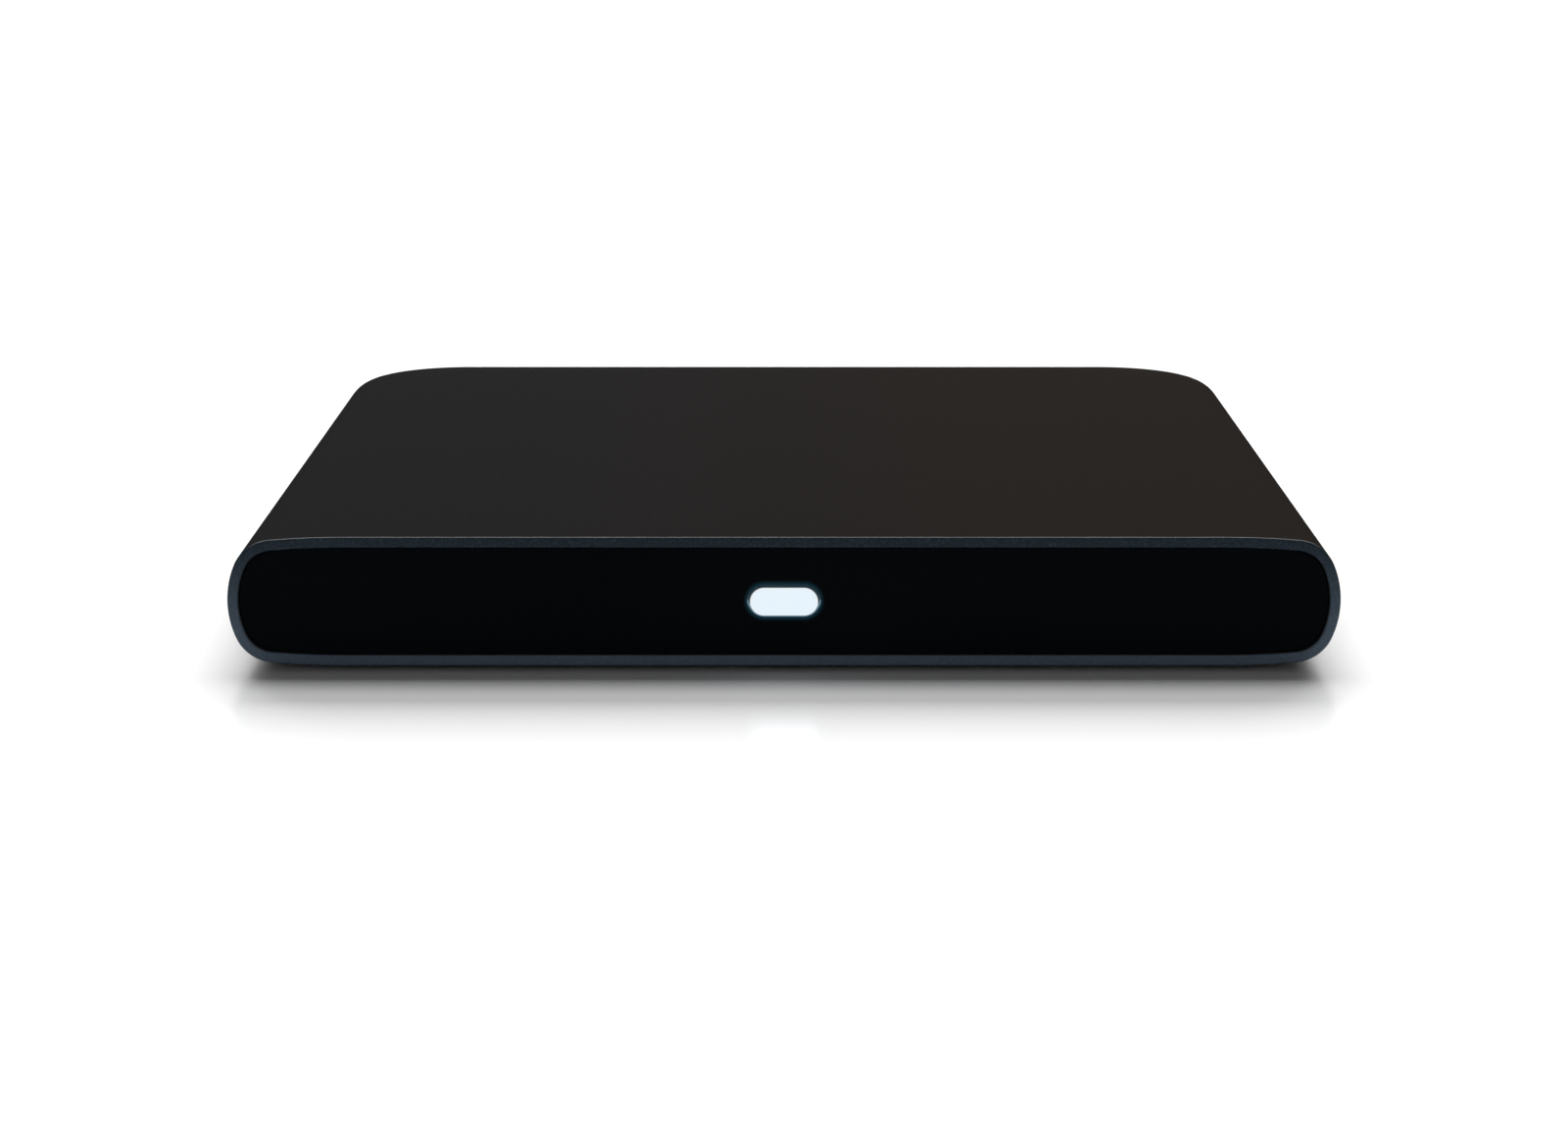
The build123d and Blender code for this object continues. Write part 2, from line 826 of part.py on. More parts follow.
with BuildPart() as wireless_module:
    with Locations((module_x, module_y, board_top)):
        Box(module_width, module_length, module_thickness, align=standing)
    for side in (-1, 1):
        post(module_x + side * plug_offset_x, plug_y, module_top, plug_radius, plug_height)
finish(wireless_module, "wireless_module")

with BuildPart() as wireless_shield:
    with Locations((module_x, module_y, module_top)):
        Box(shield_width, shield_length, shield_height, align=standing)
        Box(shield_width - 2 * shield_wall, shield_length - 2 * shield_wall,
            shield_height - shield_wall, align=standing, mode=Mode.SUBTRACT)
finish(wireless_shield, "wireless_shield")

for side_name, side in (("left", -1), ("right", 1)):
    with BuildPart() as antenna_holder:
        block(side * (holder_x + holder_thickness / 2), antenna_y - antenna_length / 2, tray_top,
              holder_thickness, antenna_length, holder_height)
    finish(antenna_holder, f"antenna_holder_{side_name}")
    with BuildPart() as antenna:
        block(side * (antenna_face + antenna_thickness / 2), antenna_y - antenna_length / 2,
              tray_top + holder_height - antenna_height, antenna_thickness, antenna_length,
              antenna_height)
    finish(antenna, f"antenna_{side_name}")

# Each lead lies flat above the main board, from the module's plug to the antenna's inner face.
# Its bends are placed across, and back from the board's front edge.
lead_starts = {
    "left": (module_x - plug_offset_x - plug_radius, plug_y),
    "right": (module_x + plug_offset_x + plug_radius, plug_y),
}
lead_routes = {
    "left": [(10.0, 24.0), (-8.0, 24.8), (-27.0, 23.8), (-46.0, 20.8), (-57.0, 26.0)],
    "right": [(53.0, 23.4), (57.9, 30.0)],
}
lead_ends = {
    "left": (-antenna_face, board_front + 26.0),
    "right": (antenna_face, board_front + 30.0),
}


def bend_radii(points):
    """Largest arc that each corner of a lead's route leaves room for."""
    radii = []
    for before, corner, after in zip(points, points[1:], points[2:]):
        arriving = Vector(corner) - Vector(before)
        leaving = Vector(after) - Vector(corner)
        half_turn = arriving.get_angle(leaving) * pi / 360
        radii.append(run_share * min(arriving.length, leaving.length) / tan(half_turn))
    return radii


for side_name, route in lead_routes.items():
    bends = [(x, board_front + y) for x, y in route]
    places = [lead_starts[side_name], *bends, lead_ends[side_name]]
    points = [(x, y, lead_z) for x, y in places]
    radii = bend_radii(points)
    with BuildPart() as antenna_lead:
        with BuildLine() as lead_path:
            FilletPolyline(*points, radius=radii)
        with BuildSketch(Plane(origin=lead_path.line @ 0, z_dir=lead_path.line % 0)):
            Circle(lead_radius)
        sweep()
    section_volume = pi * lead_radius**2 * lead_path.wire().length
    print(f"{side_name} lead radii", [round(radius, 1) for radius in radii],
          "volume", round(antenna_lead.part.volume, 2), "of", round(section_volume, 2))
    finish(antenna_lead, f"antenna_lead_{side_name}")

# Flat ribbon from the front board back and down to the main board
ribbon_start = front_board_back + ribbon_socket_depth
ribbon_end = ribbon_start + ribbon_run
main_socket_z = board_top + ribbon_socket_height / 2
ribbon_route = [
    (ribbon_start, middle_z),
    (ribbon_start + ribbon_straight, middle_z),
    (ribbon_end - ribbon_straight, main_socket_z),
    (ribbon_end, main_socket_z),
]

with BuildPart() as ribbon_cable:
    with BuildSketch(Plane(origin=(ribbon_x, 0, 0), x_dir=(0, 1, 0), z_dir=(1, 0, 0))):
        with BuildLine():
            FilletPolyline(*ribbon_route, radius=ribbon_bend)
        trace(line_width=ribbon_thickness)
    extrude(amount=ribbon_width / 2, both=True)
finish(ribbon_cable, "ribbon_cable")

with BuildPart() as ribbon_sockets:
    block(ribbon_x, front_board_back, middle_z - ribbon_socket_height / 2, ribbon_socket_width,
          ribbon_socket_depth, ribbon_socket_height)
    block(ribbon_x, ribbon_end, board_top, ribbon_socket_width, ribbon_socket_depth,
          ribbon_socket_height)
finish(ribbon_sockets, "ribbon_sockets")

# Connector panel: a plate that fills the bay, with a flange that stays inside the sleeve
video_z = board_top
serial_z = board_top
power_z = board_top + power_rise
audio_z = board_top + audio_rise
reset_z = board_top + reset_rise
optical_z = board_top + optical_width / 2
network_mouth_z = board_top + network_mouth_rise


def video_outline(x, y, z, margin):
    """Solid of the video socket's mouth, cut at its lower corners, from y to the front."""
    right = video_width / 2 + margin
    top = video_height + margin + socket_shell
    low = socket_shell - margin
    with BuildPart() as outline:
        with BuildSketch(facing_front(x, y, z)):
            with BuildLine():
                Polyline(
                    (-right, top), (right, top), (right, low + video_cut),
                    (right - video_cut, low), (video_cut - right, low), (-right, low + video_cut),
                    close=True,
                )
            make_face()
        extrude(amount=video_depth)
    return outline.part


def mouth(x, z, width, height, rear_y, depth):
    """Straight opening that runs in from rear_y towards the front."""
    block(x, rear_y - depth, z, width, depth, height, mode=Mode.SUBTRACT)


panel_depth = plate_face - panel_inside
video_window = video_outline(video_x, plate_face, video_z, socket_shell + window_gap)
window_top = video_z + video_height + 2 * socket_shell + window_gap
panel_vent_z = (window_top + middle_z + bay_height / 2) / 2

with BuildPart() as rear_panel:
    with BuildSketch(facing_front(0, plate_face, middle_z)):
        RectangleRounded(bay_width - 2 * plate_gap, bay_height - 2 * plate_gap, bay_corner)
    extrude(amount=plate_thickness)
    with BuildSketch(facing_front(0, plate_back, middle_z)):
        RectangleRounded(bay_width + 2 * flange_rim_x, bay_height + 2 * flange_rim_z, bay_corner)
    extrude(amount=plate_flange)
    for x in panel_screw_xs:
        rod(x, tray_rear, panel_screw_z, small_head_radius, panel_inside - tray_rear)
        rod(x, tray_rear, panel_screw_z, small_screw_radius + screw_gap, plate_face - tray_rear,
            mode=Mode.SUBTRACT)
    add(video_window, mode=Mode.SUBTRACT)
    mouth(serial_x, serial_z - window_gap, serial_width + 2 * (socket_shell + window_gap),
          serial_height + 2 * (socket_shell + window_gap), plate_face, panel_depth)
    mouth(network_x, network_mouth_z - window_gap, network_mouth_width + 2 * window_gap,
          network_mouth_height + 2 * window_gap, plate_face, panel_depth)
    mouth(network_x, network_mouth_z - network_latch_depth - window_gap,
          network_latch_width + 2 * window_gap, network_latch_depth + window_gap, plate_face,
          panel_depth)
    mouth(optical_x, board_top - window_gap, optical_width + 2 * window_gap,
          optical_width + 2 * window_gap, plate_face, panel_depth)
    rod(power_x, panel_inside, power_z, power_nose_radius + window_gap, panel_depth,
        mode=Mode.SUBTRACT)
    rod(audio_x, panel_inside, audio_z, audio_nose_radius + window_gap, panel_depth,
        mode=Mode.SUBTRACT)
    rod(reset_x, panel_inside, reset_z, reset_radius + reset_hole_gap, panel_depth,
        mode=Mode.SUBTRACT)
    with BuildSketch(facing_front(video_x, plate_face, panel_vent_z)):
        with GridLocations(panel_vent_pitch, 0, panel_vent_count, 1):
            SlotOverall(panel_vent_height, panel_vent_width, rotation=90)
    extrude(amount=panel_depth, mode=Mode.SUBTRACT)
finish(rear_panel, "rear_panel")

panel_screw_solids = [
    side_screw(x, plate_face, panel_screw_z, panel_screw_length)
    for x in panel_screw_xs
]

with BuildPart() as panel_screws:
    add(panel_screw_solids)
finish(panel_screws, "panel_screws")

# Video socket: a metal shell, cut at its lower corners, with a tongue inside
video_shell = video_outline(video_x, plate_face, video_z, socket_shell)
video_mouth = video_outline(video_x, plate_face + socket_shell, video_z, 0)
video_back = plate_face - video_depth + socket_shell

with BuildPart() as video_socket_shell:
    add(video_shell)
    add(video_mouth, mode=Mode.SUBTRACT)
finish(video_socket_shell, "video_socket_shell")

with BuildPart() as video_socket_tongue:
    block(video_x, video_back, video_z + socket_shell + video_height / 2, video_tongue_width,
          video_tongue_length, video_tongue_thickness)
finish(video_socket_tongue, "video_socket_tongue")

# Serial socket: a square metal shell with its tongue in the upper half
serial_back = plate_face - serial_depth + socket_shell

with BuildPart() as serial_socket_shell:
    block(serial_x, plate_face - serial_depth, serial_z, serial_width + 2 * socket_shell,
          serial_depth, serial_height + 2 * socket_shell)
    mouth(serial_x, serial_z + socket_shell, serial_width, serial_height, plate_face,
          serial_depth - socket_shell)
finish(serial_socket_shell, "serial_socket_shell")

with BuildPart() as serial_socket_tongue:
    block(serial_x, serial_back, serial_z + socket_shell + serial_height / 2,
          serial_tongue_width, serial_tongue_length, serial_tongue_thickness)
finish(serial_socket_tongue, "serial_socket_tongue")

# Network socket: a block with a stepped mouth and eight contacts under its roof
contact_z = network_mouth_z + network_mouth_height - contact_width

with BuildPart() as network_socket:
    block(network_x, jack_front - network_depth, board_top, network_width, network_depth,
          network_height)
    mouth(network_x, network_mouth_z, network_mouth_width, network_mouth_height, jack_front,
          network_mouth_depth)
    mouth(network_x, network_mouth_z - network_latch_depth, network_latch_width,
          network_latch_depth, jack_front, network_mouth_depth)
finish(network_socket, "network_socket")

with BuildPart() as network_contacts:
    with Locations((network_x, jack_front - network_mouth_depth, contact_z)):
        with GridLocations(contact_pitch, 0, contact_count, 1):
            Box(contact_width, contact_length, contact_width, align=upright)
finish(network_contacts, "network_contacts")

# Optical socket: a square housing with a sprung shutter hinged under its roof
optical_mouth = optical_width - 2 * optical_wall
hinge_y = plate_face - hinge_sink
hinge_z = optical_z + optical_mouth / 2 - hinge_drop
barrel_length = optical_mouth - 2 * shutter_side_gap
pin_span = optical_mouth + 2 * hinge_pin_length
shutter_length = hinge_z - (optical_z - optical_mouth / 2) - shutter_tip_gap
across_hinge = Location((optical_x, hinge_y, hinge_z), (0, 90, 0))

with BuildPart() as optical_socket:
    block(optical_x, plate_face - optical_depth, board_top, optical_width, optical_depth,
          optical_width)
    mouth(optical_x, optical_z - optical_mouth / 2, optical_mouth, optical_mouth, plate_face,
          optical_mouth_depth)
    with Locations(across_hinge):
        Cylinder(hinge_pin_radius + hinge_gap, pin_span + 2 * hinge_gap, mode=Mode.SUBTRACT)
finish(optical_socket, "optical_socket")

with BuildPart() as optical_shutter:
    block(optical_x, hinge_y - shutter_thickness / 2, hinge_z - shutter_length, barrel_length,
          shutter_thickness, shutter_length)
    with Locations(across_hinge):
        Cylinder(hinge_radius, barrel_length)
        Cylinder(hinge_pin_radius, pin_span)
finish(optical_shutter, "optical_shutter")

with BuildPart() as optical_emitter:
    rod(optical_x, plate_face - optical_mouth_depth, optical_z, emitter_radius, emitter_reach)
finish(optical_emitter, "optical_emitter")

# Power inlet and audio-video socket: round noses that come through the panel
with BuildPart() as power_inlet:
    block(power_x, jack_front - power_depth, board_top, power_width, power_depth, power_height)
    rod(power_x, jack_front, power_z, power_nose_radius, plate_face - jack_front)
    rod(power_x, plate_face - power_bore_depth, power_z, power_bore_radius, power_bore_depth,
        mode=Mode.SUBTRACT)
finish(power_inlet, "power_inlet")

with BuildPart() as power_inlet_pin:
    rod(power_x, plate_face - power_bore_depth, power_z, power_pin_radius, power_pin_length)
finish(power_inlet_pin, "power_inlet_pin")

with BuildPart() as audio_socket:
    block(audio_x, jack_front - audio_depth, board_top, audio_width, audio_depth, audio_height)
    rod(audio_x, jack_front, audio_z, audio_nose_radius, plate_face - jack_front)
    rod(audio_x, plate_face - audio_bore_depth, audio_z, audio_bore_radius, audio_bore_depth,
        mode=Mode.SUBTRACT)
finish(audio_socket, "audio_socket")

# Reset button: a thin plunger that stands in a hole of the panel
reset_front = jack_front
plunger_end = plate_face - reset_sink

with BuildPart() as reset_switch:
    block(reset_x, reset_front - reset_body_depth, board_top, reset_body_width, reset_body_depth,
          reset_body_height)
    rod(reset_x, reset_front - reset_bore_depth, reset_z, reset_radius + reset_gap,
        reset_bore_depth, mode=Mode.SUBTRACT)
finish(reset_switch, "reset_switch")

with BuildPart() as reset_plunger:
    rod(reset_x, reset_front - reset_hold, reset_z, reset_radius,
        plunger_end - reset_front + reset_hold)
finish(reset_plunger, "reset_plunger")
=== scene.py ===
"""Looks of a low, wide media player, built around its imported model, in metres.

The front faces -Y and +Z is up. The housing, the front panel, the power button, the feet and
the connector panel are surfaces worked out with numpy from a few outlines. The other parts
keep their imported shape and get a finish.
"""

import logging
from dataclasses import dataclass, field
from enum import Enum
from math import asin, cos, pi, radians, sin

import bmesh
import bpy
import numpy as np
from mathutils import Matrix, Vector
from mathutils.geometry import delaunay_2d_cdt


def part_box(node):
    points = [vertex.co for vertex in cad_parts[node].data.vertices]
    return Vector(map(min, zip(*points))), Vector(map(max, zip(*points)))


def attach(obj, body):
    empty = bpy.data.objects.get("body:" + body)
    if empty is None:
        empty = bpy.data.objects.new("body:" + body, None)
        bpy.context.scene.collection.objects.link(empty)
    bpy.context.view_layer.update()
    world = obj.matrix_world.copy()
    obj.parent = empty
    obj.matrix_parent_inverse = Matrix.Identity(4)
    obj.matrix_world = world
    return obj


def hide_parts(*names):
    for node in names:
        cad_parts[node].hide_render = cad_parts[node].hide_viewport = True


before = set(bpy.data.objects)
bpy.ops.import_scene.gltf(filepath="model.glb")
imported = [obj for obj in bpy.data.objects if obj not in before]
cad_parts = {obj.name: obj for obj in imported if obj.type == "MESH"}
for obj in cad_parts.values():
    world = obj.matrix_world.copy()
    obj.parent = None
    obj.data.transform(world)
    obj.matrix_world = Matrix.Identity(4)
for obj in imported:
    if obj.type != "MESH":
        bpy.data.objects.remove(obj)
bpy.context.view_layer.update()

MM = 0.001
WELD = 1e-7
MERGE = 2e-6
LOG = logging.getLogger("media_player")
FOOT_NODES = ("foot_front_left", "foot_front_right", "foot_rear_left", "foot_rear_right")


def spot(node: str) -> tuple[np.ndarray, np.ndarray]:
    """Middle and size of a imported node's box."""
    low, high = (np.array(corner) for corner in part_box(node))
    return (low + high) / 2, high - low


class Facing(Enum):
    """Which way a flat outline lies: upright across the object, or level."""

    UPRIGHT = "upright"
    LEVEL = "level"

    def place(self, outline: np.ndarray, depth: float | np.ndarray) -> np.ndarray:
        """Put a flat outline at its depth along the axis that it looks along.

        Args:
            outline: (n, 2) array of the outline's own coordinates.
            depth: Y of an upright outline, or Z of a level one.

        Returns:
            (n, 3) array of points.
        """
        across, along = outline[:, 0], outline[:, 1]
        far = np.broadcast_to(depth, across.shape)
        if self is Facing.UPRIGHT:
            return np.stack([across, far, along], axis=1)
        return np.stack([across, along, far], axis=1)


@dataclass(frozen=True)
class RoundedBox:
    """Rectangle with round corners; with corners of half its height it is a full-round slot."""

    x: float
    y: float
    width: float
    height: float
    corner: float
    steps: int = 8

    def points(self, grow: float = 0.0) -> np.ndarray:
        """Four quarter circles joined by straight edges, every point moved out by grow.

        A point is the corner's centre plus (corner + grow) times (cos a, sin a), where a runs
        round the whole turn and each quarter keeps its own centre.

        Args:
            grow: How far the outline moves outwards.

        Returns:
            (n, 2) array, anticlockwise, with no point twice.
        """
        quarter = np.linspace(0, pi / 2, self.steps + 1)
        angle = (np.arange(4)[:, None] * pi / 2 + quarter[None, :]).ravel()
        sides = np.array([(1, 1), (-1, 1), (-1, -1), (1, -1)]).repeat(self.steps + 1, axis=0)
        reach = np.array([self.width / 2 - self.corner, self.height / 2 - self.corner])
        centre = np.array([self.x, self.y]) + sides * reach
        turned = np.stack([np.cos(angle), np.sin(angle)], axis=1)
        base = centre + self.corner * turned
        apart = np.linalg.norm(base - np.roll(base, 1, axis=0), axis=1) > WELD
        return (centre + (self.corner + grow) * turned)[apart]


def circle(x: float, y: float, radius: float, steps: int = 12) -> RoundedBox:
    """Circle as a rounded box whose corners meet."""
    return RoundedBox(x, y, 2 * radius, 2 * radius, radius, steps)


@dataclass(frozen=True)
class CutBox:
    """Box whose two lower corners are cut off, as a video plug's are."""

    x: float
    bottom: float
    width: float
    height: float
    cut: float

    def points(self, grow: float = 0.0) -> np.ndarray:
        """Six corners, moved out by grow.

        Args:
            grow: How far the outline moves outwards.

        Returns:
            (6, 2) array, anticlockwise.
        """
        right = self.width / 2 + grow
        low, high = self.bottom - grow, self.bottom + self.height + grow
        step = self.bottom + self.cut - grow
        inner = right - self.cut
        corners = [(right, step), (right, high), (-right, high), (-right, step), (-inner, low)]
        return np.array([*corners, (inner, low)]) + [self.x, 0]


@dataclass(frozen=True)
class HousingForm:
    """The housing's section and plan, from which the sleeve and the panel both take theirs."""

    half_width: float
    half_height: float
    front: float
    rear: float
    middle_z: float
    side_radius: float = 14.1 * MM
    edge_radius: float = 6.25 * MM
    shoulder_radius: float = 120.0 * MM
    shoulder_turn: float = radians(5.0)
    rear_corner: float = 22.2 * MM
    wall: float = 1.6 * MM
    bay_width: float = 112.0 * MM
    bay_height: float = 13.0 * MM
    bay_corner: float = 2.0 * MM
    bay_steps: int = 5
    shoulder_steps: int = 4
    edge_steps: int = 6
    side_steps: int = 8
    corner_steps: int = 28

    @property
    def corner_x(self) -> float:
        """Distance of the rear corners' centres from the middle plane."""
        return self.half_width - self.rear_corner

    @property
    def corner_y(self) -> float:
        """Y of the rear corners' centres."""
        return self.rear - self.rear_corner

    @property
    def bay_angles(self) -> np.ndarray:
        """Angles at which the bay's round corners are stepped."""
        return np.linspace(0, pi / 2, self.bay_steps + 1)

    @property
    def rows_above(self) -> int:
        """Rows of the band above the bay's upper edge."""
        return self.shoulder_steps + self.edge_steps

    def _arcs(self) -> np.ndarray:
        """Arcs of the section's upper right quarter, from the side to the top.

        The arcs are tangent: a centre is the one before it, moved by the difference of the two
        radii at the angle where the arcs meet.

        Returns:
            (3, 4) array of centre x, centre height over the middle, radius and first angle.
        """
        meet = pi / 2 - self.shoulder_turn
        step = self.side_radius - self.edge_radius
        gap = self.shoulder_radius - self.edge_radius
        drop = self.shoulder_radius * (1 - sin(meet)) + self.edge_radius * sin(meet)
        start = asin((self.half_height - drop) / step)
        side_x = self.half_width - self.side_radius
        edge_x, edge_z = side_x + step * cos(start), step * sin(start)
        return np.array([
            (side_x, 0.0, self.side_radius, -1.0),
            (edge_x, edge_z, self.edge_radius, start),
            (edge_x - gap * cos(meet), edge_z - gap * sin(meet), self.shoulder_radius, meet),
        ])

    def _angles_at(self, heights: np.ndarray, inset: float) -> np.ndarray:
        """Angles at which the side's or the edge's arc reaches the heights.

        Args:
            heights: Heights over the middle.
            inset: How far the section lies inside the housing's outer face.

        Returns:
            Array of angles up from the side.
        """
        side, edge = self._arcs()[:2]
        on_side = np.arcsin(np.clip(heights / (side[2] - inset), -1, 1))
        on_edge = np.arcsin(np.clip((heights - edge[1]) / (edge[2] - inset), -1, 1))
        return np.where(on_side < edge[3], on_side, on_edge)

    def band(self, inset: float, lip: float = 0.0) -> np.ndarray:
        """Right side of the section: shoulder, edge and side arcs, and their mirror image.

        A point is its arc's centre plus (radius - inset) times (cos a, sin a). Some rows stand
        at the heights where the bay's round corners are stepped, so that the bay can be cut
        along them: mouth - corner + (corner + lip) times cos b.

        Args:
            inset: How far the section lies inside the housing's outer face.
            lip: How far the bay's mouth is widened at this depth.

        Returns:
            (n, 2) array of x and height over the middle, from the top to the bottom.
        """
        arcs = self._arcs()
        corner = self.bay_corner + lip
        heights = self.bay_height / 2 - self.bay_corner + corner * np.cos(self.bay_angles)
        stepped = self._angles_at(heights, inset)
        shoulder = np.linspace(pi / 2, arcs[2, 3], self.shoulder_steps)
        edge = np.linspace(arcs[2, 3], stepped[0], self.edge_steps + 2)[1:-1]
        side = np.linspace(stepped[-1], 0, self.side_steps + 1)[1:]
        angle = np.concatenate([shoulder, edge, stepped, side])
        centre_x, centre_z, radius = arcs[np.searchsorted(arcs[:, 3], angle, "right") - 1, :3].T
        reach = radius - inset
        points = [centre_x + reach * np.cos(angle), centre_z + reach * np.sin(angle)]
        half = np.stack(points, axis=1)
        return np.concatenate([half, half[-2::-1] * [1, -1]])

    def loop(self, inset: float, lip: float = 0.0) -> np.ndarray:
        """Whole section as a closed loop: the right band, then its mirror image.

        Args:
            inset: How far the section lies inside the housing's outer face.
            lip: How far the bay's mouth is widened at this depth.

        Returns:
            (n, 2) array of x and Z.
        """
        right = self.band(inset, lip)
        return np.concatenate([right, right[::-1] * [-1, 1]]) + [0, self.middle_z]

    def skin(self, inset: float, lip: float, start: float) -> np.ndarray:
        """Band carried along one side, round a rear corner, across the rear and back.

        A point is a base point of the plan plus the band's reach times an outward direction.
        The direction is (cos f, sin f), with f from 0 on the side to 90 degrees at the rear.

        Args:
            inset: How far the skin lies inside the housing's outer face.
            lip: How far the bay's mouth is widened at this depth.
            start: Y at which the skin begins at the front.

        Returns:
            (columns, rows, 3) array.
        """
        angle = np.linspace(0, pi / 2, self.corner_steps + 1)
        corner = self.bay_corner + lip
        bay_x = self.bay_width / 2 - self.bay_corner + corner * np.sin(self.bay_angles[::-1])
        flat = np.ones_like(bay_x)
        base_x = np.concatenate([[self.corner_x], np.full_like(angle, self.corner_x), bay_x])
        base_y = np.concatenate([[start], np.full_like(angle, self.corner_y), flat * self.corner_y])
        out_x = np.concatenate([[1.0], np.cos(angle), 0 * flat])
        out_y = np.concatenate([[0.0], np.sin(angle), flat])
        band = self.band(inset, lip)
        reach = band[None, :, 0] - self.corner_x
        x = base_x[:, None] + reach * out_x[:, None]
        y = base_y[:, None] + reach * out_y[:, None]
        z = np.broadcast_to(self.middle_z + band[None, :, 1], x.shape)
        right = np.stack([x, y, z], axis=2)
        return np.concatenate([right, right[::-1] * [-1, 1, 1]])

    def bay_steps_in(self) -> tuple[np.ndarray, np.ndarray]:
        """How many steps each column and row of the skin lies inside the bay's corner blocks.

        Returns:
            Column steps and row steps, negative outside the bay.
        """
        steps = np.arange(self.bay_steps + 1)
        half_columns = np.concatenate([np.full(self.corner_steps + 2, -1), steps])
        columns = np.concatenate([half_columns, half_columns[::-1]])
        rows_total = len(self.band(0))
        half = np.full((rows_total + 1) // 2, 2 * self.bay_steps)
        half[: self.rows_above] = -1
        half[self.rows_above : self.rows_above + self.bay_steps + 1] = steps
        return columns, np.concatenate([half, half[-2::-1]])

    def bay_loop(self) -> tuple[np.ndarray, np.ndarray]:
        """Column and row numbers of the skin's points round the bay's edge, in order."""
        steps = np.arange(self.bay_steps + 1)
        columns, rows = self.bay_steps_in()
        first_column = self.corner_steps + 2
        last_column = len(columns) - 1 - first_column
        bottom = len(rows) - 1
        arc_columns = first_column + steps[::-1]
        arc_rows = self.rows_above + steps
        middle = np.arange(arc_rows[-1] + 1, bottom - arc_rows[-1])
        straight = np.full(len(middle), first_column)
        right_columns = np.concatenate([arc_columns, straight, arc_columns[::-1]])
        right_rows = np.concatenate([arc_rows, middle, (bottom - arc_rows)[::-1]])
        left_columns = last_column + first_column - right_columns[::-1]
        return (
            np.concatenate([right_columns, left_columns]),
            np.concatenate([right_rows, right_rows[::-1]]),
        )


